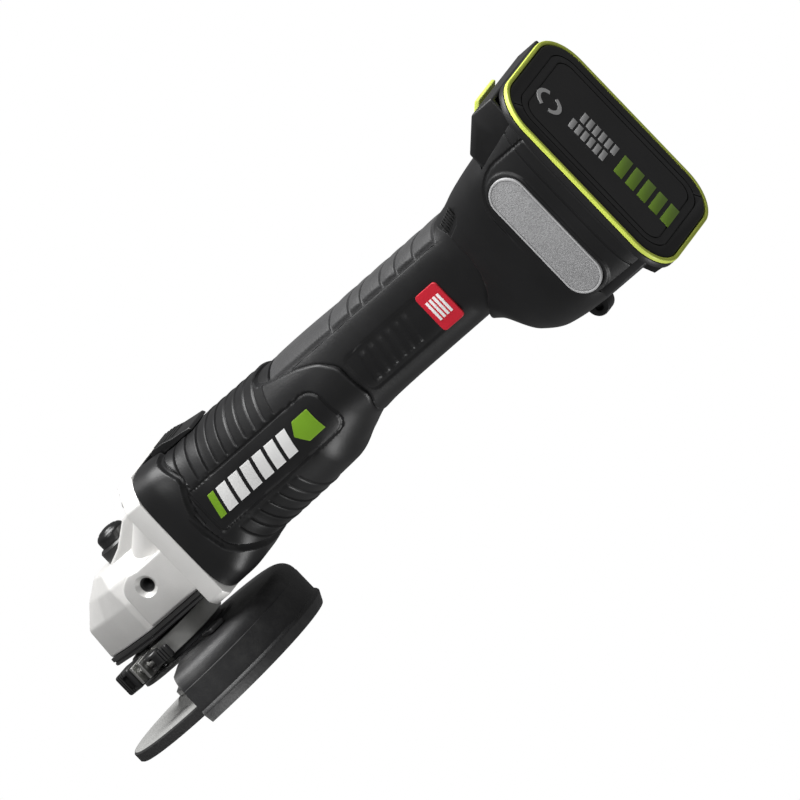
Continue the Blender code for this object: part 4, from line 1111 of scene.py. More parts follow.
    def build_screws(self) -> None:
        """Makes the four socket-head screws that hold the head to the motor housing."""
        nodes = [f"head_screw_{i}" for i in range(1, 5)]
        boxes = [span(node) for node in nodes]
        low, high = boxes[0]
        length, radius = high[0] - low[0], (high[1] - low[1]) / 2
        profile = [(0, 2.2), (1.3, 2.2), (1.5, 0.0), (radius - 0.5, 0.0), (radius, 0.5), (radius, 2.6)]
        profile += [(radius * 0.6, 2.9), (radius * 0.6, length), (0, length)]
        unit = turned("screw", profile, "X", (0, 0, -AXIS_MM), 32)
        spots = [(a[0], (a[1] + b[1]) / 2, (a[2] + b[2]) / 2 + AXIS_MM) for a, b in boxes]
        screws = repeat("head_screws", unit, spots, (0.2, 0.9, 0.5, 1.3))
        attach(screws, self.finishes.steel, "housing", *nodes, slot="steel")

    def build_lock(self) -> None:
        """Makes the domed spindle-lock button and the collar it runs in."""
        low, high = span("spindle_lock_button")
        x, radius = (low[0] + high[0]) / 2, (high[0] - low[0]) / 2
        collar_low, collar_high = span("spindle_lock_collar")
        outer = (collar_high[0] - collar_low[0]) / 2
        inner = radius + 0.3
        profile = [(inner, collar_low[2]), (outer, collar_low[2]), (outer, collar_high[2] - 1.2)]
        profile += [(outer - 1.0, collar_high[2] - 0.2), (inner, collar_high[2])]
        collar = turned("spindle_lock_ring", profile, centre=(x, 0, 0), segments=96)
        attach(collar, self.finishes.gloss, "housing", "spindle_lock_collar", slot="shell_black")
        self.button(x, radius, low, high)
        self.build_spring(x)

    def build_spring(self, x: float) -> None:
        """Winds the lock's return spring as one fixed coil; nothing here shortens it as the button is
        pressed.

        Args:
            x: Place of its axis along the tool.
        """
        low, high = span("spindle_lock_spring")
        wire, turns, steps = 0.45, 5, 160
        coil = (high[0] - low[0]) / 2 - wire
        rings = []
        for step in range(steps + 1):
            share = step / steps
            angle = 2 * math.pi * turns * share
            z = low[2] + wire + (high[2] - low[2] - 2 * wire) * share
            out = (math.cos(angle), math.sin(angle))
            around = [(math.cos(a), math.sin(a)) for a in np.linspace(0, 2 * math.pi, 8, endpoint=False)]
            ring = []
            for a, b in around:
                reach = coil + wire * a
                ring.append((x + reach * out[0], reach * out[1], z + wire * b))
            rings.append(ring)
        spring = make_object("lock_return_spring", *bridge(rings))
        attach(spring, self.finishes.steel, "housing", "spindle_lock_spring", slot="steel")
        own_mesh(spring)

    def button(self, x: float, radius: float, low: np.ndarray, high: np.ndarray) -> None:
        """Makes the button: a dome with two finger rings, on its pin.

        Args:
            x: Place of its axis along the tool.
            radius: Radius of the dome.
            low: Lowest corner of its frame node.
            high: Highest corner.
        """
        top, shoulder = high[2], high[2] - 4.2
        dome = []
        for step in range(17):
            angle = math.radians(90 * step / 16)
            dome.append((radius * math.cos(angle), shoulder + (top - shoulder) * math.sin(angle)))
        ringed = []
        for r, h in dome[:-1]:
            share = r / radius
            ringed.append((r, h - 0.35 * (abs(share - 0.72) < 0.05) - 0.35 * (abs(share - 0.4) < 0.06)))
        skirt = shoulder - 4.1
        profile = [(0, low[2]), (2.0, low[2]), (2.0, skirt), (radius - 1, skirt), (radius, skirt + 0.6)]
        profile += [*ringed, (0, top)]
        made = turned("spindle_lock_cap", profile, centre=(x, 0, 0), segments=96)
        attach(made, self.finishes.gloss, "spindle_lock", "spindle_lock_button", slot="shell_black")

    def build(self) -> None:
        """Builds the whole head."""
        self.build_casting()
        self.build_inserts()
        self.build_cover()
        self.build_screws()
        self.build_lock()


def disc_profile(radius: float, low: float, high: float) -> list:
    """Profile of a filled cylinder for turning."""
    return [(0, low), (radius, low), (radius, high), (0, high)]


# ---------------------------------------------------------------- shells


@dataclass
class MotorHousing:
    """Barrel that holds the motor, with its squarer shroud, grip ribs and side name panels.

    Attributes:
        finishes: The tool's finishes.
        radius: Outer radius of the barrel.
        wall: Thickness of the moulding.
        rib_pitch: Distance between the grip ribs.
        panel: Where the name panel starts, ends, and its lowest and highest point.
        panel_depth: How deep the name panel is sunk.
    """

    finishes: Finishes
    radius: float = 33.5
    wall: float = 2.6
    rib_pitch: float = 7.1
    panel: tuple[float, float, float, float] = (78.5, 170.5, -13.3, 12.8)
    panel_depth: float = 0.25

    def __post_init__(self) -> None:
        """Takes its place from the frame and draws its sections."""
        low, high = span("motor_housing")
        self.start, self.end = low[0], high[0] + SEAM_GAP
        r, x, end = self.radius, self.start, self.end
        self.casing = Casing(
            (
                (x, high[1], low[2], high[2], 4.6),
                (x + 10, high[1] - 0.4, low[2] + 0.1, high[2] - 0.5, 4.4),
                (x + 22, high[1] - 1.6, low[2] + 2.6, high[2] - 1.9, 3.4),
                (x + 32, r + 0.2, -r - 0.3, r + 0.2, 2.5),
                (x + 42, r, -r, r, 2.2),
                (end - 42, r - 0.3, -r + 1.5, r - 0.2, 2.2),
                (end - 28, r - 1.2, -r + 6.5, r - 0.6, 2.2),
                (end - 12, r - 3, -22.2, 32.0, 2.3),
                (end + 4, r - 5, -21.6, 31.8, 2.5),
            ),
            self.relief,
        )
        self.shroud = line_through(((73, 34), (81, 20), (76, 11), (71, -4), (74, -20), (84, -33)))

    def relief(self, x: np.ndarray, y: np.ndarray, z: np.ndarray) -> np.ndarray:
        """Height of the shroud's step, the ribs, the sunk panel and the rounded rear edge.

        Args:
            x: Places along the tool.
            y: Places across it; not used.
            z: Heights.

        Returns:
            Height over the plain skin at each place.
        """
        rear = barrel_seam(self.end)(z)
        behind = x - self.shroud(z)
        lift = 0.7 * (1 - smoothstep(behind, -1.2, 0.2)) - 1.5 * window(behind, -0.4, 1.2, 0.9)
        lift -= 1.4 * window(behind, 1.2, 30, 0.8) * (1 - smoothstep(behind, 3, 16)) * 0.6
        lift += self.slats(x, 81.5, 9) * smoothstep(z, self.panel[3] + 1.0, self.panel[3] + 2.4)
        lift += self.slats(x, 87.0, 6) * (1 - smoothstep(z, self.panel[2] - 4.0, self.panel[2] - 2.6))
        centre = ((self.panel[0] + self.panel[1]) / 2, (self.panel[2] + self.panel[3]) / 2)
        half = ((self.panel[1] - self.panel[0]) / 2, (self.panel[3] - self.panel[2]) / 2)
        corner = 1.5 + 6.5 * smoothstep(x, centre[0], self.panel[1] - 6)
        inside = rectangle_field(x, z, centre, half, corner)
        floor = self.panel_depth * (1 - smoothstep(inside, -0.8, 0.0))
        lift -= floor + 0.7 * window(inside, -0.35, 0.35, 0.5)
        return lift - 0.5 * smoothstep(x, rear - 0.9, rear + 0.1)

    def slats(self, x: np.ndarray, start: float, count: int) -> np.ndarray:
        """Overlapping grip slats from start, at the pitch: each rises to the rear and ends in a groove.

        Args:
            x: Places along the tool.
            start: Where the first slat starts.
            count: Number of slats.

        Returns:
            Height over the plain skin at each place.
        """
        phase = (x - start) / self.rib_pitch
        number = np.floor(phase)
        share = phase - number
        inside = window(x, start, start + self.rib_pitch * count, 0.8)
        deep = np.where(number % 2 == 0, 0.7, 0.4)
        groove = np.maximum(1 - share / 0.07, 0) + np.maximum(1 - (1 - share) / 0.07, 0)
        return inside * (0.6 * share - deep * np.clip(groove, 0, 1))

    def build_shell(self) -> None:
        """Makes the housing, hollow, with the switch's slot and the swept rear seam."""
        shell = self.casing.solid("motor_housing_shell", self.start, self.end + 0.5, 0.55, 288)
        inside = self.casing.hollow("inside", self.start - 2, self.end + 2, self.wall)
        low, high = span("slide_switch")
        middle = span("switch_rod")[0][0] + 5.0
        floor_level = span("motor_housing")[1][2] - 3.0
        floor = block("floor", (low[0] - 7, low[1] - 1, floor_level), (high[0] + 3, high[1] + 1, 60))
        slot = block("slot", (middle - 12, -5.0, 20.0), (middle + 6, 5.0, 50.0))
        combine(shell, inside, floor, slot, seam_cutter(barrel_seam(self.end), 1, -SEAM_GAP))
        attach(shell, self.finishes.shell, "housing", "motor_housing", slot="shell_black")

    def build_labels(self) -> None:
        """Fills each side's panel with plain slanted bars between two green ends."""
        start, low, high = self.panel[0] + 6.9, -7.2, 6.0
        floor, face = -self.panel_depth, -self.panel_depth + 0.35

        def level(height: float) -> Callable[[np.ndarray], np.ndarray]:
            """An edge at one height."""
            return lambda u: np.full_like(u, height)

        def pointed(height: float) -> Callable[[np.ndarray], np.ndarray]:
            """An edge that rises from a point at the plate's front."""
            return lambda u: -0.6 + (height + 0.6) * np.clip(0.03 + u / 0.3, 0, 1)

        for side in Side:
            name = side.name.lower()
            edges = (
                (start, start + 4.2, level(low), level(high), 0.25),
                (start + 60.4, start + 75.6, pointed(low), pointed(high), 0.0),
            )
            greens = []
            for number, (*edge, lean) in enumerate(edges):
                greens.append(self.plate(f"label_end_{number}", side, edge, face, floor, lean))
            bars = []
            for number in range(6):
                x = start + 6.2 + number * 9.0
                edge = (x, x + 6.6, level(low), level(high))
                bars.append(self.plate(f"label_bar_{number}", side, edge, face, floor, 0.25))
            green = merge(f"label_ends_{name}", greens)
            attach(green, self.finishes.green, "housing", f"label_plate_{name}", slot="accent_green")
            attach(merge(f"label_bars_{name}", bars), self.finishes.white, "housing", slot="accent_green")

    def build(self) -> None:
        """Builds the housing and its panels."""
        self.build_shell()
        self.build_labels()

    def plate(
        self, name: str, side: Side, edge: Sequence, face: float, floor: float, lean: float
    ) -> Object:
        """One thin plate in the panel, leaning along the tool."""
        x0, x1, lower, upper = edge
        return self.casing.patch(name, side, (x0, x1), lower, upper, face, face - floor + 0.2, lean)


def barrel_seam(end: float) -> Callable[[np.ndarray], np.ndarray]:
    """The seam where the motor housing ends, from the top of the tool to its underside."""
    upper = ((-50, 45), (-50, 30), (-44, 27), (-26, 25), (-9, 19), (-1, 11))
    knots = (*upper, (0, -10), (-8, -19), (-13, -26), (-13, -60))
    return line_through([(end + x, z) for x, z in knots])


def foot_seam(start: float) -> Callable[[np.ndarray], np.ndarray]:
    """The seam where the foot begins, from the top of the tool to its underside."""
    knots = ((-12, 60), (-12, 32), (-3, 24), (0, 10), (-2, 0), (-8, -10), (-18, -18), (-27, -26), (-27, -70))
    return line_through([(start + x, z) for x, z in knots])


def seam_cutter(seam: Callable[[np.ndarray], np.ndarray], toward: int, shift: float) -> Object:
    """Everything on one side of a seam: toward is -1 for the head's side and 1 for the battery's.

    Args:
        seam: Place of the seam at each height.
        toward: Which way the cutter reaches.
        shift: Its distance past the seam.

    Returns:
        The cutter.
    """
    heights = np.linspace(62.0, -72.0, 269)
    line = [(x + shift, z) for x, z in zip(seam(heights), heights)]
    far = line[0][0] + toward * 300
    return prism("seam_cutter", line + [(far, heights[-1]), (far, heights[0])], "Y", -80.0, 80.0)


def merge(name: str, pieces: Sequence[Object]) -> Object:
    """Puts several finished shapes into one piece.

    Args:
        name: Name of the piece.
        pieces: The shapes, which are used up.

    Returns:
        The joined piece.
    """
    shape = bmesh.new()
    for piece in pieces:
        shape.from_mesh(piece.data)
        bpy.data.objects.remove(piece, do_unlink=True)
    mesh = bpy.data.meshes.new(name)
    shape.to_mesh(mesh)
    shape.free()
    made = linked(name, mesh)
    smooth(made)
    return made


@dataclass
class Handle:
    """Two handle shells, the soft strip on top and the badge on each side.

    Attributes:
        finishes: The tool's finishes.
        wall: Thickness of the mouldings.
        grip_edge: Height where the soft strip's sides end.
        grip_sink: Depth of the bed that the strip lies in.
        panel: Where the sunk side panel starts, ends, and its lowest and highest point.
    """

    finishes: Finishes
    wall: float = 2.6
    grip_edge: float = 25.0
    grip_sink: float = 1.6
    panel: tuple[float, float, float, float] = (191.0, 246.0, -11.0, 12.0)

    def __post_init__(self) -> None:
        """Takes the handle's length and sections from the frame."""
        low, high = span("handle_left_shell")
        self.barrel_end = span("motor_housing")[1][0] + SEAM_GAP
        self.foot_x = high[0] + SEAM_GAP
        self.half = 25.5
        grip_low, grip_high = span("handle_top_grip")
        self.grip = (grip_low[0], grip_high[0])
        top, bottom, b, f, r = 31.6, -21.0, self.barrel_end, self.foot_x, 33.5
        self.casing = Casing(
            (
                (b - 52, r - 3.0, -r + 6, top + 0.3, 2.2),
                (b - 24, r - 4.5, bottom - 3, top + 0.2, 2.4),
                (b + 2, self.half + 1.5, bottom - 0.4, top, 2.6),
                (b + 26, self.half, bottom, top, 2.8),
                (f - 24, self.half, bottom, top, 2.8),
                (f - 12, self.half + 0.5, bottom - 5, top + 0.2, 2.8),
                (f + 4, self.half + 3, bottom - 20, top + 2.5, 3.0),
            ),
            self.relief,
        )

    def relief(self, x: np.ndarray, y: np.ndarray, z: np.ndarray) -> np.ndarray:
        """Height of the strip's bed, the sunk side panel and the rounded seams.

        Args:
            x: Places along the tool.
            y: Places across it; not used.
            z: Heights.

        Returns:
            Height over the plain skin at each place.
        """
        front, rear = barrel_seam(self.barrel_end)(z), foot_seam(self.foot_x)(z)
        lift = -0.5 * (1 - smoothstep(x, front - 0.1, front + 0.9))
        lift = lift - 0.5 * smoothstep(x, rear - 0.9, rear + 0.1)
        bed = window(x, self.grip[0] - 0.2, self.grip[1] + 0.2, 0.4)
        bed = bed * smoothstep(z, self.grip_edge - 0.6, self.grip_edge)
        lift -= self.grip_sink * bed
        centre = ((self.panel[0] + self.panel[1]) / 2, (self.panel[2] + self.panel[3]) / 2)
        half = ((self.panel[1] - self.panel[0]) / 2, (self.panel[3] - self.panel[2]) / 2)
        inside = rectangle_field(x, z, centre, half, 4.0)
        lift -= 0.6 * (1 - smoothstep(inside, -0.9, 0.1))
        phase = (x - 0.25 * z - (self.panel[0] + 9)) / 6.2
        share = np.abs(phase - np.round(phase))
        count = (np.round(phase) >= 0) & (np.round(phase) < 6)
        return lift + 0.55 * (1 - smoothstep(share, 0.2, 0.32)) * count * window(z, -7.0, 7.5, 0.8)

    def build_shells(self) -> None:
        """Makes the left and right handle shells."""
        for side in Side:
            name = side.name.lower()
            shell = self.casing.solid(f"handle_{name}", self.barrel_end - 51, self.foot_x + 3, 0.6, 256)
            inside = self.casing.hollow("inside", self.barrel_end - 53, self.foot_x + 5, self.wall)
            other = block("other_half", *half_space(side))
            front = seam_cutter(barrel_seam(self.barrel_end), -1, SEAM_GAP)
            rear = seam_cutter(foot_seam(self.foot_x), 1, -SEAM_GAP)
            combine(shell, inside, other, front, rear)
            attach(shell, self.finishes.shell, "housing", f"handle_{name}_shell", slot="shell_black")

    def build_grip(self) -> None:
        """Makes the soft strip with its pads, which are parted by cross grooves."""
        start, end = self.grip
        breaks = (195.0, 209.0, 218.0, 233.0, 244.0, 257.0)
        rows, columns = 420, 64
        x = np.linspace(start, end, rows)
        outer, inner = [], []
        for place in x:
            half, bottom, top, square = self.casing.values(np.array([place]))[0]
            middle, height = (top + bottom) / 2, (top - bottom) / 2
            reach = math.asin(min(1.0, (self.grip_edge + 0.3 - middle) / height) ** (square / 2))
            angle = np.linspace(reach, math.pi - reach, columns)
            groove = max(window(np.array([place]), b - 0.45, b + 0.45, 0.5)[0] for b in breaks)
            swell = 0.5 * math.sin(math.pi * self.pad_share(place, (start, *breaks, end))) ** 0.5
            end_fade = float(smoothstep(np.array([min(place - start, end - place)]), 0.0, 1.6)[0])
            edge_fade = smoothstep(np.minimum(angle - reach, math.pi - reach - angle), 0.0, 0.12)
            rise = self.grip_sink - 0.35 + swell - groove
            lift = -self.grip_sink + 0.35 + rise * end_fade * edge_fade
            upper = self.casing.ring(place, angle, 1e-6)
            under = self.casing.ring(place, angle, -self.grip_sink + 0.05)
            out = upper - under
            out /= np.linalg.norm(out, axis=1)[:, None]
            outer.append(upper + out * lift[:, None])
            inner.append(under)
        strip = sheet_between("handle_grip_strip", np.array(outer), np.array(inner))
        attach(strip, self.finishes.grip, "housing", "handle_top_grip", slot="grip_grey")

    def pad_share(self, place: float, breaks: Sequence[float]) -> float:
        """How far along its pad a place is, from 0 to 1.

        Args:
            place: A place along the tool.
            breaks: Where the pads part.

        Returns:
            The share of the pad's length.
        """
        for low, high in zip(breaks, breaks[1:]):
            if place <= high:
                return max(0.0, min(1.0, (place - low) / (high - low)))
        return 0.0

    def build_badges(self) -> None:
        """Makes the red badge on each side."""
        for side in Side:
            name = side.name.lower()
            low, high = span(f"badge_plate_{name}")
            edge = side.value * self.half
            outline = rounded((high[0] - low[0]) / 2, low[2], high[2], 2.2)
            centre = (low[0] + high[0]) / 2
            near, far = sorted((edge - side.value * 0.6, edge + side.value * 1.0))
            plate = prism(f"badge_{name}", [(a + centre, b) for a, b in outline], "Y", near, far)
            bevel(plate, 0.4, 3)
            attach(plate, self.finishes.red, "housing", f"badge_plate_{name}", slot="badge_red")
            self.build_badge_bars(side, centre, low[2], high[2])

    def build_badge_bars(self, side: Side, centre: float, low: float, high: float) -> None:
        """Lays short white bars on a badge.

        Args:
            side: Which side of the tool.
            centre: Middle of the badge along the tool.
            low: Its lower edge.
            high: Its upper edge.
        """
        thick = 0.35
        unit = block("bar", (-0.8, -thick, -5.6 - AXIS_MM), (0.8, thick, 5.6 - AXIS_MM))
        bevel(unit, 0.15, 2)
        level = side.value * (self.half + 1.0)
        middle = (low + high) / 2 + AXIS_MM
        spots = [(centre + 2.6 * (i - 1.5), level, middle) for i in range(4)]
        bars = repeat(f"badge_bars_{side.name.lower()}", unit, spots)
        attach(bars, self.finishes.white, "housing", slot="badge_red")

    def build(self) -> None:
        """Builds the whole handle."""
        self.build_shells()
        self.build_grip()
        self.build_badges()


def half_space(side: Side) -> tuple[Point, Point]:
    """Corners of a box that holds the other half of the tool, less half the split."""
    low, high = (-80.0, SPLIT_GAP) if side is Side.RIGHT else (-SPLIT_GAP, 80.0)
    return (0.0, low, -90.0), (420.0, high, 90.0)


@dataclass
class Foot:
    """Two foot shells that take the battery, with a bumper pad and a vent on each side.

    Attributes:
        finishes: The tool's finishes.
        wall: Thickness of the mouldings.
        pad: Height, half length and half width of the bumper pad.
        vent: Place along the tool, height, half length and half height of the vent.
    """

    finishes: Finishes
    wall: float = 2.6
    pad: tuple[float, float, float] = (-6.0, 36.0, 10.5)
    vent: tuple[float, float, float, float] = (289.0, 28.0, 8.0, 4.2)

    def __post_init__(self) -> None:
        """Takes the foot's place from the frame and draws its sections."""
        low, high = span("foot_left_shell")
        self.rear, self.floor, self.cheek = high[0], low[2], high[2]
        self.half = 43.5
        self.start = span("handle_left_shell")[1][0] + SEAM_GAP
        self.bay = self.start + 43.0
        f, base, slim = self.start, self.floor, 25.5
        step = self.half - slim
        self.stations = (
            (f - 30, slim - 0.2, -20.8, 31.4, 2.8),
            (f - 18, slim + 0.2, -29.0, 31.6, 2.8),
            (f - 6, slim + 0.2 * step, base + 7, 33.6, 3.0),
            (f + 8, slim + 0.55 * step, base + 1.5, 38.0, 3.4),
            (f + 24, slim + 0.85 * step, base + 0.3, 42.0, 4.0),
            (self.bay - 2, self.half - 0.5, base, 45.5, 4.6),
            (self.rear, self.half, base, self.cheek, 5.0),
        )
        self.casing = Casing(self.stations, self.relief)

    def relief(self, x: np.ndarray, y: np.ndarray, z: np.ndarray) -> np.ndarray:
        """Height of the rounded seams, the pad's raised rim, the vent's bed and the cheek's rear step.

        Args:
            x: Places along the tool.
            y: Places across it.
            z: Heights.

        Returns:
            Height over the plain skin at each place.
        """
        front = foot_seam(self.start)(z)
        lift = -0.5 * (1 - smoothstep(x, front - 0.1, front + 0.9))
        lift = lift - 0.6 * smoothstep(x, self.rear - 1.0, self.rear)
        level, length, width = self.pad
        rim = rectangle_field(x, z, (self.bay + 3.5, level), (width, length), width)
        lift += 0.7 * window(rim, 0.2, 1.8, 0.9) * (np.abs(y) > 20)
        crease = rectangle_field(x, z, (self.bay + 20, level + 2), (32.0, 41.0), 22.0)
        lift -= 0.8 * window(crease, -0.3, 0.3, 0.9) * smoothstep(z, -12.0, 12.0) * (np.abs(y) > 22)
        px, pz, half_x, half_z = self.vent
        bed = rectangle_field(x, z - 0.35 * (x - px), (px, pz), (half_x, half_z), half_z)
        lift -= 1.5 * (1 - smoothstep(bed, -1.0, 0.2)) * (np.abs(y) > 8)
        return lift - 0.5 * window(x - self.rear, -7.6, -7.0, 0.5)

    def build_shells(self) -> None:
        """Makes the left and right foot shells around the battery's bay."""
        bay_half, bay_floor = span("battery_case")[1][1] + 0.5, span("battery_case")[0][2] - 0.3
        inner_wall = self.bay - self.wall
        for side in Side:
            name = side.name.lower()
            shell = self.casing.solid(f"foot_{name}", self.start - 30, self.rear, 0.5, 300)
            inside = Casing(
                (*self.stations[:-2], (inner_wall, self.half - 1, self.floor, 45.0, 4.6))
            ).hollow("inside", self.start - 30, inner_wall, self.wall)
            end = block("end", (self.start - 50, -60, -80), (self.start - 29, 60, 80))
            bay = block("bay", (self.bay, -bay_half, bay_floor), (self.rear + 20, bay_half, 90))
            way = block("way", (inner_wall - 5, -17, -16), (self.bay + 5, 17, 12))
            front = seam_cutter(foot_seam(self.start), -1, SEAM_GAP)
            pocket = self.stadium("pocket", side, 0.25, 0.0, 20.0)
            other = block("other_half", *half_space(side))
            combine(shell, end, inside, front, bay, way, pocket, other)
            attach(shell, self.finishes.shell, "housing", f"foot_{name}_shell", slot="shell_black")

    def stadium(self, name: str, side: Side, grow: float, base: float, height: float) -> Object:
        """A shape with round ends standing on the pocket's floor, as the pad or its pocket.

        Args:
            name: Name of the piece.
            side: Which side of the tool.
            grow: How much wider than the pad it is.
            base: Its start over the pocket's floor.
            height: How far it reaches out.

        Returns:
            The closed shape.
        """
        level, length, width = self.pad
        outline = rounded(width + grow, level - length - grow, level + length + grow, width + grow - 0.01, 16)
        floor = self.half - 1.6
        low, high = sorted((side.value * (floor + base), side.value * (floor + base + height)))
        return prism(name, [(a + self.bay + 3.5, b) for a, b in outline], "Y", low, high)

    def build_pads(self) -> None:
        """Makes the grained pads and the bright rims round them."""
        for side in Side:
            name = side.name.lower()
            rim = self.stadium(f"foot_pad_rim_{name}", side, 0.0, 0.3, 2.3)
            hole = self.stadium("rim_hole", side, -1.1, -3.0, 20.0)
            attach(bevel(combine(rim, hole), 0.35, 2), self.finishes.rim, "housing", slot="pad_grey")
            pad = bevel(self.stadium(f"foot_pad_face_{name}", side, -1.2, 0.3, 2.1), 0.9, 4)
            attach(pad, self.finishes.pad, "housing", f"foot_pad_{name}", slot="pad_grey")

    def build_vents(self) -> None:
        """Lays a row of slats in each vent."""
        px, pz, half_x, half_z = self.vent
        for side in Side:
            unit = block("slat", (-0.45, -0.9, -half_z - AXIS_MM), (0.45, 0.9, half_z - AXIS_MM))
            bevel(unit, 0.3, 2)
            x = px + np.linspace(-half_x + 2.0, half_x - 2.0, 7)
            z = pz + 0.35 * (x - px)
            y = self.casing.side(x, z) - 1.1
            spots = [(a, side.value * b, c + AXIS_MM) for a, b, c in zip(x, y, z)]
            slats = repeat(f"foot_vent_slats_{side.name.lower()}", unit, spots)
            attach(slats, self.finishes.gloss, "housing", slot="shell_black")

    def build_lugs(self) -> None:
        """Makes the lanyard eye and the rear tab under the foot."""
        x, top, radius = self.start + 18.5, self.floor + 3.0, 6.2
        outline = [(x - 8.0, top), (x + 8.0, top)]
        for step in range(13):
            angle = math.radians(-180.0 * step / 12)
            outline.append((x + radius * math.cos(angle), self.floor - 0.6 + radius * math.sin(angle)))
        eye = prism("foot_lanyard_eye", outline, "Y", -4.5, 4.5)
        combine(eye, turned("hole", disc_profile(2.2, -9.0, 9.0), "Y", (x, 0, self.floor - 1.4), 32))
        attach(bevel(eye, 0.9, 3), self.finishes.shell, "housing", slot="shell_black")
        rear = self.rear - 4.0
        profile = [(rear - 15, self.floor + 2), (rear - 11, self.floor - 6.2), (rear - 2, self.floor - 7.2)]
        profile += [(rear, self.floor - 5.4), (rear, self.floor + 2)]
        tab = prism("foot_rear_tab", profile, "Y", -13.0, 13.0)
        for y in (-6.5, 0.0, 6.5):
            slot_low = (rear - 12, y - 0.6, self.floor - 9)
            combine(tab, block("slot", slot_low, (rear + 2, y + 0.6, self.floor - 5.2)))
        attach(bevel(tab, 0.7, 3), self.finishes.shell, "housing", slot="shell_black")

    def build(self) -> None:
        """Builds the whole foot."""
        self.build_lugs()
        self.build_shells()
        self.build_pads()
        self.build_vents()


@dataclass
class SlideSwitch:
    """The thumb switch on the barrel, stepped and ribbed."""

    finishes: Finishes
    ribs: int = 6

    def build(self) -> None:
        """Makes the button with its stem and grip ribs."""
        low, high = span("slide_switch")
        base = high[2] - 5.3
        x0, half = low[0], high[1]
        profile = ((0, 0), (0, 3.6), (2.2, 5.3), (9, 4.9), (15, 3.5), (22, 2.6), (27, 2.0), (28, 0))
        top = [(x0 + a, base + b) for a, b in profile]
        button = bevel(prism("switch_button", top, "Y", -half, half), 0.7, 4, 18.0)
        stem = block("stem", (x0 + 9, -4.2, low[2]), (x0 + 19, 4.2, base + 1))
        combine(button, stem, how="UNION")
        attach(button, self.finishes.gloss, "slide_switch", "slide_switch", slot="grip_grey")
        unit = block("rib", (-0.5, -half + 2.2, -0.45 - AXIS_MM), (0.5, half - 2.2, 0.45 - AXIS_MM))
        bevel(unit, 0.3, 2)
        spots = []
        for number in range(self.ribs):
            a = 3.4 + 2.1 * number
            level = float(np.interp(a, [p[0] for p in profile], [p[1] for p in profile]))
            spots.append((x0 + a, 0.0, base + level + AXIS_MM))
        ribs = repeat("switch_ribs", unit, spots)
        attach(ribs, self.finishes.gloss, "slide_switch", slot="grip_grey")
        dress("switch_rod", self.finishes.gloss)


# ---------------------------------------------------------------- guard


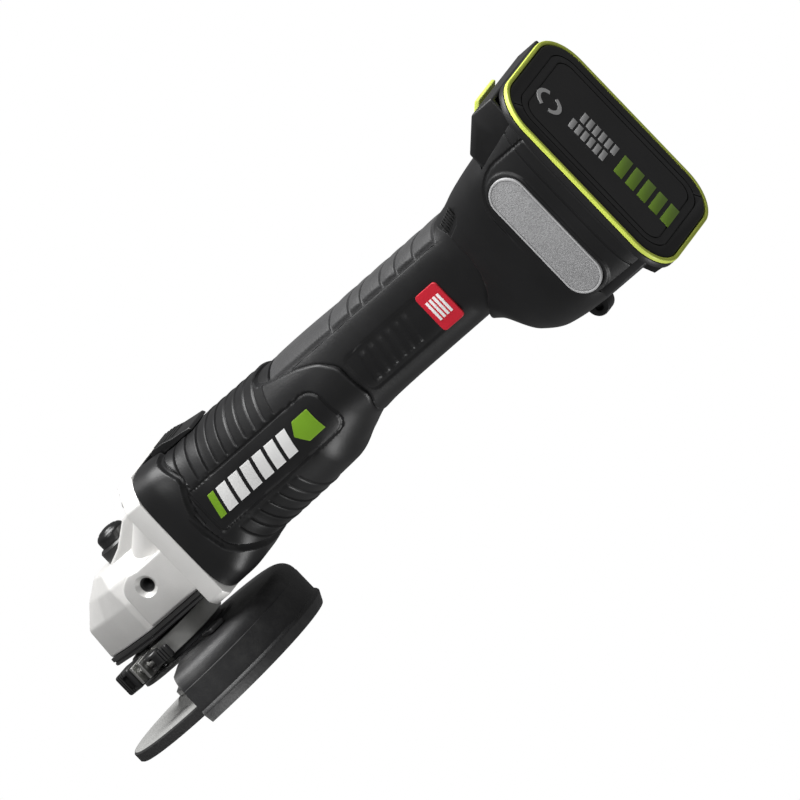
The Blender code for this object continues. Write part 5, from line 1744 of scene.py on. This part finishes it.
@dataclass
class Guard:
    """Pressed steel guard with its clamping band, and the quick clamp on it.

    Attributes:
        finishes: The tool's finishes.
        start: Where the skirt starts, in degrees from the battery's direction.
        sweep: How far the skirt runs.
        sheet: Thickness of the sheet.
        clamp: Direction of the clamp.
        ear_face: Distance of the clamp's ear faces from the clamp's middle.
    """

    finishes: Finishes
    start: float = -76.0
    sweep: float = 180.0
    sheet: float = 2.0
    clamp: float = -104.0
    ear_face: float = 4.5

    def __post_init__(self) -> None:
        """Takes the guard's levels from the frame."""
        low, high = span("guard")
        self.bottom, self.collar_top = low[2], high[2]
        self.radius = high[1] - 1.5
        self.top = span("bearing_cover")[0][2] - 1.0
        self.collar = (21.5, 23.5)

    def build_skirt(self) -> None:
        """Makes the half-round skirt, its roof with a pressed step, and the collar."""
        r, top, low, s = self.radius, self.top, self.bottom, self.sheet
        fall, bend = 2.6, 8.0
        roof = [(22.8, top), (30.0, top), (31.5, top - 1.2), (40.0, top - 1.6)]
        turn = np.linspace(0.16, math.pi / 2, 12)
        shoulder = [(r - bend + bend * math.sin(a), top - fall - bend + bend * math.cos(a)) for a in turn]
        shoulder += [(r, top - fall - bend - 0.6), (r + 0.25, top - fall - bend - 1.0)]
        lip = [(r + 0.25, low + 7.6), (r + 1.2, low + 6.6), (r + 1.5, low + 5.9), (r + 1.5, low + 5.4)]
        lip += [(r - 0.9, low + 0.5), (r - 1.3, low), (r - s + 0.3, low), (r - s, low + 0.3)]
        inner_bend = bend - s
        under = []
        for a in turn[::-1]:
            level = top - fall - bend + inner_bend * math.cos(a)
            under.append((r - bend + inner_bend * math.sin(a), level))
        back = [(40.0, top - s - 1.6), (31.9, top - s - 1.2), (29.6, top - s), (22.8, top - s)]
        profile = roof + shoulder + lip + under + back
        rings = []
        for step in range(181):
            angle = math.radians(self.start + self.sweep * step / 180)
            c, sn = math.cos(angle), math.sin(angle)
            rings.append([(a * c, a * sn, h) for a, h in profile])
        guard = make_object("guard_skirt", *bridge(rings), 24.0)
        inner, outer = self.collar
        flat = [(inner, top - s), (outer + 6, top - s), (outer + 6, top - 0.3), (outer + 5.7, top)]
        plate = turned("plate", [*flat, (inner, top)], segments=144)
        tube = [(inner, top - s + 0.5), (outer, top - s + 0.5), (outer, self.collar_top - 0.4)]
        tube += [(outer - 0.4, self.collar_top), (inner, self.collar_top)]
        collar = turned("collar", tube, segments=144)
        combine(guard, plate, collar, self.notch(), how="UNION")
        combine(guard, self.clamp_box("slot", (10, outer + 3), (-2.0, 2.0), (top + 0.6, self.collar_top + 3)))
        smooth(guard, 24.0)
        attach(guard, self.finishes.coat, "guard", "guard", slot="guard_black")

    def notch(self) -> Object:
        """A raised index tab pressed out of the roof."""
        outline = rounded(5.0, 33.0, 46.0, 2.0)
        tab = prism("tab", [(b, a) for a, b in outline], "Z", self.top - 1.5, self.top + 0.9)
        tab.data.transform(Matrix.Rotation(math.radians(-38.0), 4, "Z"))
        return bevel(tab, 0.7, 3)

    def clamp_point(self, radial: float, along: float, z: float) -> Point:
        """A point given outwards from the axis and round towards the skirt at the clamp, and up."""
        angle = math.radians(self.clamp)
        c, s = math.cos(angle), math.sin(angle)
        return (radial * c - along * s, radial * s + along * c, z)

    def clamp_box(self, name: str, radial: tuple, along: tuple, height: tuple) -> Object:
        """A box in the clamp's own directions."""
        corners = ((radial[0], along[0]), (radial[1], along[0]), (radial[1], along[1]), (radial[0], along[1]))
        return make_object(name, *bridge([[self.clamp_point(a, b, z) for a, b in corners] for z in height]))

    def clamp_turned(self, name: str, profile: list, radial: float, z: float) -> Object:
        """Turns a (radius, place along the clamp) profile about the clamp's screw.

        Args:
            name: Name of the piece.
            profile: Radius and place of each point.
            radial: The screw's distance from the spindle.
            z: The screw's height.

        Returns:
            The closed piece.
        """
        rings, segments = [], 40
        for i in range(segments):
            angle = 2 * math.pi * i / segments
            c, s = math.cos(angle), math.sin(angle)
            rings.append([self.clamp_point(radial + r * c, h, z + r * s) for r, h in profile])
        return make_object(name, *bridge(rings, loop=True))

    def build_clamp(self) -> None:
        """Makes the band with its ears, the screw, the block and the cam lever."""
        low, high = self.collar_top - 10.5, self.collar_top - 0.5
        inner = self.collar[1] + 0.3
        outer = inner + 2.2
        opening = math.degrees(2.0 / inner)
        profile = [(inner, low), (outer - 0.3, low), (outer, low + 0.3)]
        profile += [(outer, high - 0.3), (outer - 0.3, high), (inner, high)]
        rings = []
        for step in range(161):
            angle = math.radians(self.clamp + opening + (360 - 2 * opening) * step / 160)
            rings.append([(a * math.cos(angle), a * math.sin(angle), h) for a, h in profile])
        band = make_object("guard_band_strap", *bridge(rings))
        screw_r, screw_z = outer + 13.0 * 0.6, (low + high) / 2
        for side in Side:
            along = sorted((side.value * 2.2, side.value * 4.2))
            ear = bevel(self.clamp_box("ear", (inner + 0.8, outer + 13.0), tuple(along), (low, high)), 0.5, 3)
            combine(band, ear, how="UNION")
        combine(band, self.clamp_turned("hole", [(0, -12), (2.3, -12), (2.3, 12), (0, 12)], screw_r, screw_z))
        attach(band, self.finishes.zinc, "guard", "guard_band", slot="zinc")
        ear_face = self.ear_face
        head = [(0, -ear_face - 5.5), (1.4, -ear_face - 5.5), (1.6, -ear_face - 4.4), (2.9, -ear_face - 5.5)]
        head += [(3.4, -ear_face - 5.0), (3.4, -ear_face - 3.0), (2.0, -ear_face - 3.0)]
        shank = [(2.0, ear_face + 5.2), (1.6, ear_face + 5.5), (0, ear_face + 5.5)]
        screw = self.clamp_turned("clamp_bolt", head + shank, screw_r, screw_z)
        attach(screw, self.finishes.steel, "guard", "clamp_screw", slot="zinc")
        self.build_block(screw_r, screw_z, outer, (low, high))
        self.build_lever(screw_r, screw_z)

    def build_block(self, radial: float, level: float, outer: float, height: tuple) -> None:
        """Makes the plastic block on the screw's head, with a ribbed end.

        Args:
            radial: The screw's distance from the spindle.
            level: The screw's height.
            outer: Outer radius of the band.
            height: Lowest and highest point of the band.
        """
        near, far = -15.5, -4.5
        nut = self.clamp_box("nut", (outer + 1.0, outer + 14.0), (near, far), (height[0] - 1, height[1] + 1))
        bevel(nut, 1.4, 4)
        for number in range(4):
            along = near + 1.2 + 1.5 * number
            run, tall = (along, along + 0.7), (height[0] - 3, height[1] + 3)
            combine(nut, self.clamp_box("groove", (outer + 12.9, outer + 16), run, tall))
        hole = [(0, -10.5), (3.7, -10.5), (3.7, -7.2), (2.3, -7.2), (2.3, -1.5), (0, -1.5)]
        bore = self.clamp_turned("bore", hole, radial, level)
        mouth = self.clamp_box("mouth", (radial, outer + 17), (-10.5, -7.2), (level - 3.7, level + 3.7))
        combine(nut, bore, mouth)
        nut.name = "clamp_nut_block"
        attach(nut, self.finishes.gloss, "guard", "clamp_block", slot="shell_black")

    def build_lever(self, radial: float, level: float) -> None:
        """Makes the cam lever that turns about the screw's end.

        Args:
            radial: The screw's distance from the spindle.
            level: The screw's height.
        """
        half, along = 4.0, self.ear_face + 5.0
        pivot = self.clamp_point(radial, along, 0)
        profile = [(0, level - half), (4.2, level - half), (4.7, level - half + 0.5)]
        profile += [(4.7, level + half - 0.5), (4.2, level + half), (0, level + half)]
        cam = turned("clamp_cam_lever", profile, centre=pivot, segments=64)
        run, tall = (along + 1, along + 15.5), (level - 3.5, level + 3.5)
        plate = self.clamp_box("plate", (radial + 2.0, radial + 4.6), run, tall)
        bevel(plate, 0.8, 3)
        combine(cam, plate, how="UNION")
        run, tall = (along - 8, along + 2.4), (level - 2.3, level + 2.3)
        combine(cam, self.clamp_box("slot", (radial - 2.3, radial + 12), run, tall))
        for number in range(3):
            place = along + 8.0 + 2.2 * number
            run, tall = (place, place + 0.9), (level - 5, level + 5)
            combine(cam, self.clamp_box("groove", (radial + 4.1, radial + 6), run, tall))
        attach(cam, self.finishes.gloss, "clamp_lever", "clamp_lever", slot="shell_black")

    def build(self) -> None:
        """Builds the guard and its clamp."""
        self.build_skirt()
        self.build_clamp()


# ---------------------------------------------------------------- spindle


@dataclass
class Spindle:
    """The disc and what clamps it."""

    finishes: Finishes
    crank: float = 4.5
    thickness: float = 6.0

    def build(self) -> None:
        """Makes the depressed-centre disc, the flange nut and the dressed shafts."""
        low, high = span("grinding_disc")
        radius, top, t = high[0], high[2] - self.crank, self.thickness
        centre = top + self.crank
        bore, foot, rise = 11.1, 21.5, 27.0
        upper = [(bore, centre), (foot, centre), (foot + 1.2, centre - 0.4)]
        upper += [(rise - 1, top + 0.4), (rise + 0.4, top)]
        rim = [(radius - 0.8, top), (radius, top - 0.8), (radius, top - t + 0.8), (radius - 0.8, top - t)]
        lower = [(rise + 1.6, top - t), (rise + 0.2, top - t + 0.4), (foot + 2.4, centre - t - 0.4)]
        lower += [(foot + 1.2, centre - t), (bore, centre - t)]
        disc = turned("grinding_wheel", upper + rim + lower, segments=256)
        attach(disc, self.finishes.abrasive, "spindle", "grinding_disc", slot="abrasive")
        self.build_nut()
        for node in ("spindle", "inner_flange", "crown_gear"):
            dress(node, self.finishes.steel)

    def build_nut(self) -> None:
        """Makes the flange nut with its four wrench holes."""
        low, high = span("flange_nut")
        radius = high[0]
        bore = 7.3
        profile = [(bore, low[2]), (radius - 1.2, low[2]), (radius - 0.2, low[2] + 0.6)]
        profile += [(radius - 0.2, high[2] - 0.5), (radius - 0.7, high[2]), (bore, high[2])]
        nut = turned("flange_nut_ring", profile, segments=128)
        for number in range(4):
            angle = math.pi / 4 + math.pi / 2 * number
            place = (0.75 * radius * math.cos(angle), 0.75 * radius * math.sin(angle), 0)
            hole = turned("hole", disc_profile(2.1, low[2] - 2, low[2] + 2.5), centre=place, segments=32)
            combine(nut, hole)
        attach(nut, self.finishes.zinc, "spindle", "flange_nut", slot="zinc")


# ---------------------------------------------------------------- battery


@dataclass
class Battery:
    """Slide-on pack: case, base, lime trim ring, marked face and release button.

    Attributes:
        finishes: The tool's finishes.
        corner: Outer radius of the pack's corners.
        margin: Distance from the trim ring to the seam of the face's panel.
        slope: Run and rise of the case's sloping front corner.
    """

    finishes: Finishes
    corner: float = 22.0
    margin: float = 6.4
    slope: tuple[float, float] = (16.0, 14.0)

    def __post_init__(self) -> None:
        """Takes the pack's size from the frame."""
        self.low, self.high = span("battery_trim_ring")
        self.base_low, base_high = span("battery_base")
        self.face = base_high[0] - 0.4
        self.half = self.high[1]

    def slab(self, name: str, inset: float, start: float, end: float) -> Object:
        """A plate with the pack's outline, drawn in by an inset."""
        low, high = self.low[2] + inset, self.high[2] - inset
        return prism(name, rounded(self.half - inset, low, high, self.corner - inset, 16), "X", start, end)

    def build_case(self) -> None:
        """Makes the case that slides into the foot, with room for the cells and contacts."""
        low, high = span("battery_case")
        run, rise = self.slope
        x0, x1, bottom, top = low[0], high[0], low[2], high[2]
        outline = [(x0, bottom), (x1, bottom), (x1, top), (x0 + run, top), (x0, top - rise)]
        case = bevel(prism("battery_case_shell", outline, "Y", low[1], high[1]), 1.0, 3, 20.0)
        cell_low, cell_high = span("battery_cell_1")
        wall, front = 2.0, x1 - (cell_high[0] - cell_low[0]) - 0.6
        skin = 1.5 * math.hypot(run, rise) / run
        level = top - wall

        def under_slope(x: float) -> float:
            """Height of the room's roof under the slope."""
            return top - rise + (x - x0) * rise / run - skin

        reach = x0 + (level + skin - top + rise) * run / rise
        room = [(front, bottom + wall), (x1 + 3, bottom + wall), (x1 + 3, level), (reach, level)]
        room.append((front, under_slope(front)))
        combine(case, prism("cells", room, "Y", low[1] + wall, high[1] - wall))
        combine(case, block("contacts", (x0 - 3, -14, -13), (x0 + 3.5, 14, 9)))
        for side in Side:
            for height in (-30.0, -22.0, 24.0, 32.0):
                lips = sorted((side.value * (high[1] - 0.6), side.value * (high[1] + 2)))
                combine(case, block("rail", (x0 + 4, lips[0], height), (x1 - 2, lips[1], height + 1.6)))
        attach(case, self.finishes.shell, "battery", "battery_case", slot="shell_black")

    def build_base(self) -> None:
        """Makes the black base, the face with two nested grooves and corner lines, and the lime trim ring."""
        front, ring = self.base_low[0], self.low[0]
        base = bevel(self.slab("battery_base_shell", 0.0, front, ring - 0.3), 0.5, 3)
        face = bevel(self.slab("face", 2.5, front + 1, self.face), 1.3, 5)
        combine(base, face, how="UNION")
        depth, width = 0.7, 0.7
        for inset in (2.5 + self.margin, 2.5 + self.margin + 4.6):
            groove = self.slab("groove", inset, self.face - depth, self.face + 2)
            core = self.slab("core", inset + width, self.face - 3, self.face + 4)
            combine(base, combine(groove, core))
        for cutter in self.corner_lines(depth, width):
            combine(base, cutter)
        smooth(base, 25.0)
        attach(base, self.finishes.shell, "battery", "battery_base", slot="shell_black")
        trim = self.slab("battery_trim", 0.0, self.low[0], self.high[0])
        combine(trim, self.slab("hole", 2.2, self.low[0] - 3, self.high[0] + 3))
        attach(bevel(trim, 0.45, 3), self.finishes.lime, "battery", "battery_trim_ring", slot="lime")

    def corner_lines(self, depth: float, width: float) -> list:
        """Cutters for the lines that join the panel seam to the trim ring.

        Args:
            depth: Depth of the lines.
            width: Width of the lines.

        Returns:
            The cutters.
        """
        face = self.face
        middle = (self.low[2] + self.high[2]) / 2
        reach = (self.half - self.corner, (self.high[2] - self.low[2]) / 2 - self.corner)
        cutters = []
        for sy, sz in ((-1, 1), (1, -1)):
            near, far = (0.71 * (self.corner - back) for back in (2.8 + self.margin, 3.2))
            start = (sy * (reach[0] + near), middle + sz * (reach[1] + near))
            end = (sy * (reach[0] + far), middle + sz * (reach[1] + far))
            along = Vector((end[0] - start[0], end[1] - start[1])).normalized()
            off = Vector((-along.y, along.x)) * width / 2
            a, b = Vector(start), Vector(end)
            outline = [tuple(p) for p in (a - off, b - off, b + off, a + off)]
            cutters.append(prism("line", outline, "X", face - depth, face + 2))
        return cutters

    def build_marks(self) -> None:
        """Lays a plain broken ring and rows of charge bars on the face."""
        face = self.face
        middle = (self.low[2] + self.high[2]) / 2
        for number, start in enumerate((20.0, 200.0)):
            rings = []
            for step in range(33):
                angle = math.radians(start + 140.0 * step / 32)
                c, s = math.cos(angle), math.sin(angle)
                corners = ((5.6, -0.3), (8.0, -0.3), (8.0, 0.2), (5.6, 0.2))
                rings.append([(face + h, -9 + r * c, middle + 38 + r * s) for r, h in corners])
            arc = make_object(f"battery_ring_mark_{number}", *bridge(rings))
            attach(arc, self.finishes.mark, "battery", slot="shell_black")
        self.bars("battery_gauge_grey_low", self.finishes.mark, (-7.5, middle), (22.0, 6), (4.3, 1.5), 9.0)
        self.bars("battery_gauge_grey_high", self.finishes.mark, (4.5, middle), (19.0, 6), (4.3, 1.5), 9.0)
        self.bars("battery_gauge_green", self.finishes.green, (-1.0, middle), (-11.0, 5), (8.2, 2.9), 19.0)

    def bars(
        self,
        name: str,
        finish: Material,
        centre: tuple[float, float],
        run: tuple[float, int],
        size: tuple[float, float],
        width: float,
    ) -> None:
        """Lays one row of bars.

        Args:
            name: Name of the piece.
            finish: Its finish.
            centre: Place across the face, and height of the face's middle.
            run: Height of the first bar over the middle, and the number of bars.
            size: Pitch of the bars and half the thickness of one.
            width: Length of one bar across the face.
        """
        pitch, thick = size
        unit = block("bar", (-0.2, -width / 2, -thick - AXIS_MM), (0.2, width / 2, thick - AXIS_MM))
        bevel(unit, 0.1, 2)
        spots = [(self.face, centre[0], centre[1] + run[0] - pitch * i + AXIS_MM) for i in range(run[1])]
        attach(repeat(name, unit, spots), finish, "battery", slot="accent_green")

    def build_release(self) -> None:
        """Makes the ribbed lime release button on the pack's sloping corner."""
        low, high = span("battery_release_button")
        slope = Vector(self.slope).normalized()
        out = Vector((-slope.y, slope.x))
        start = Vector((low[0], low[2])) + Vector((2.6 * slope.y, 0))
        ends = (start, start + slope * 16.0)
        profile = [ends[0], ends[0] + out * 2.0, ends[0] + out * 2.6 + slope * 1.5]
        profile += [ends[1] + out * 2.6 - slope * 1.5, ends[1] + out * 2.0, ends[1]]
        half = high[1]
        button = bevel(prism("battery_release", [tuple(p) for p in profile], "Y", -half, half), 0.5, 3, 20.0)
        for number in range(5):
            place = start + slope * (4.0 + 2.0 * number) + out * 2.2
            deep = place + out * 0.9
            ridge = [place, deep + slope * 0.25, deep + slope * 0.65, place + slope * 0.9]
            groove = prism("groove", [tuple(p) for p in ridge], "Y", -half + 2.5, half - 2.5)
            combine(button, groove)
        attach(button, self.finishes.lime, "battery_release", "battery_release_button", slot="lime")

    def build(self) -> None:
        """Builds the pack and dresses its cells."""
        self.build_base()
        self.build_case()
        self.build_marks()
        self.build_release()
        for number in range(1, 6):
            dress(f"battery_cell_{number}", self.finishes.sleeve)


# ---------------------------------------------------------------- insides and studio


def dress(node: str, finish: Material) -> None:
    """Gives a frame node that stays as it is its finish.

    Args:
        node: Name of the frame node.
        finish: Its material.
    """
    slots = frame["nodes"][node].data.materials
    slots.clear()
    slots.append(finish)
    LOG.info("%s keeps its frame shape", node)


def dress_insides(finishes: Finishes) -> None:
    """Gives every inner frame node its finish.

    Args:
        finishes: The tool's finishes.
    """
    places = ("lower_spindle", "upper_spindle", "front_motor", "rear_motor")
    for node in (*(f"{place}_bearing" for place in places), "rotor", "pinion"):
        dress(node, finishes.steel)
    dress("stator", finishes.copper)
    for node in ("fan", "microswitch", "terminal_block"):
        dress(node, finishes.gloss)
    dress("controller_board", finishes.board)


@dataclass
class Studio:
    """Pale floor, soft lights and the camera.

    Attributes:
        azimuth: Direction of the camera, in degrees from the tool's left side towards the battery.
        elevation: Height of the camera in degrees.
        roll: Turn of the picture in degrees, so that the tool leans up to the right.
        target: What the camera looks at, in metres.
        distance: How far away the camera is.
        lens: Focal length in millimetres.
        sensor: Width of the camera's sensor in millimetres.
        ambient: Share of the white backdrop that lights the tool.
    """

    azimuth: float = 30.0
    elevation: float = 5.0
    roll: float = 43.9
    target: Point = (0.1844, 0.0, 0.0516)
    distance: float = 10.95
    lens: float = 1000.0
    sensor: float = 36.0
    ambient: float = 0.17

    def camera_axes(self) -> tuple[Vector, Vector, Vector]:
        """Directions of the picture's right side, its top, and back towards the camera."""
        a, e, roll = (math.radians(v) for v in (self.azimuth, self.elevation, self.roll))
        back = Vector((math.sin(a) * math.cos(e), -math.cos(a) * math.cos(e), math.sin(e)))
        level = Vector((math.cos(a), math.sin(a), 0))
        above = back.cross(level)
        right = level * math.cos(roll) - above * math.sin(roll)
        return right, level * math.sin(roll) + above * math.cos(roll), back

    def build_camera(self) -> None:
        """Sets up the camera."""
        data = bpy.data.cameras.new("camera")
        data.lens = self.lens
        data.sensor_width = self.sensor
        data.clip_end = 200.0
        camera = linked("camera", data)
        right, above, back = self.camera_axes()
        place = Vector(self.target) + back * self.distance
        camera.matrix_world = Matrix.Translation(place) @ Matrix((right, above, back)).transposed().to_4x4()
        bpy.context.scene.camera = camera

    def light(self, name: str, toward: Vector, distance: float, size: float, power: float) -> None:
        """Adds a square soft light that faces the tool.

        Args:
            name: Name of the light.
            toward: Direction from the tool to the light.
            distance: Its distance in metres.
            size: Its width in metres.
            power: Its power in watts.
        """
        data = bpy.data.lights.new(name, "AREA")
        data.size = size
        data.energy = power
        lamp = linked(name, data)
        lamp.location = Vector(self.target) + toward.normalized() * distance
        lamp.rotation_euler = toward.to_track_quat("Z", "Y").to_euler()

    def build_floor(self) -> None:
        """Lays the pale floor well below the tool."""
        mesh = bpy.data.meshes.new("floor")
        reach, level = 60.0, -12.0
        corners = [(-reach, -reach), (reach, -reach), (reach, reach), (-reach, reach)]
        mesh.from_pydata([(x, y, level) for x, y in corners], [], [(0, 1, 2, 3)])
        floor = linked("floor", mesh)
        g = Graph("pale_floor")
        g.set(roughness=0.9, emission_strength=1.0, specular_ior_level=0.0)
        g.shader.inputs["Base Color"].default_value = (0.9, 0.9, 0.9, 1.0)
        g.shader.inputs["Emission Color"].default_value = (1.0, 1.0, 1.0, 1.0)
        mesh.materials.append(g.material)
        floor.visible_diffuse = False
        floor.visible_glossy = False
        floor.visible_shadow = False

    def build_world(self) -> None:
        """Gives a white backdrop that lights the tool only softly."""
        scene = bpy.context.scene
        scene.view_settings.view_transform = "Standard"
        world = bpy.data.worlds.new("studio")
        scene.world = world
        world.use_nodes = True
        tree = world.node_tree
        backdrop = tree.nodes["Background"]
        backdrop.inputs["Color"].default_value = (1.0, 1.0, 1.0, 1.0)
        ray = tree.nodes.new("ShaderNodeLightPath")
        level = tree.nodes.new("ShaderNodeMapRange")
        level.inputs["To Min"].default_value = self.ambient
        level.inputs["To Max"].default_value = 1.0
        tree.links.new(ray.outputs["Is Camera Ray"], level.inputs["Value"])
        tree.links.new(level.outputs["Result"], backdrop.inputs["Strength"])

    def build(self) -> None:
        """Builds the studio."""
        self.build_camera()
        right, above, back = self.camera_axes()
        self.light("key", above * 0.9 - right * 1.0 + back * 0.25, 1.5, 1.0, 40.0)
        self.light("front", back * 1.0 + above * 0.1 - right * 0.6, 2.4, 0.8, 19.0)
        self.light("edge", right * 0.62 - above * 1.0 + back * 0.25, 1.5, 0.5, 12.0)
        self.build_floor()
        self.build_world()


def main() -> None:
    """Builds the tool piece by piece."""
    logging.basicConfig(level=logging.INFO, format="%(message)s")
    Studio().build()
    finishes = Finishes.make()
    for part in (GearHead, MotorHousing, Handle, Foot, SlideSwitch, Guard, Spindle, Battery):
        LOG.info("building %s", part.__name__)
        part(finishes).build()
    dress_insides(finishes)


if __name__ == "__main__":
    main()
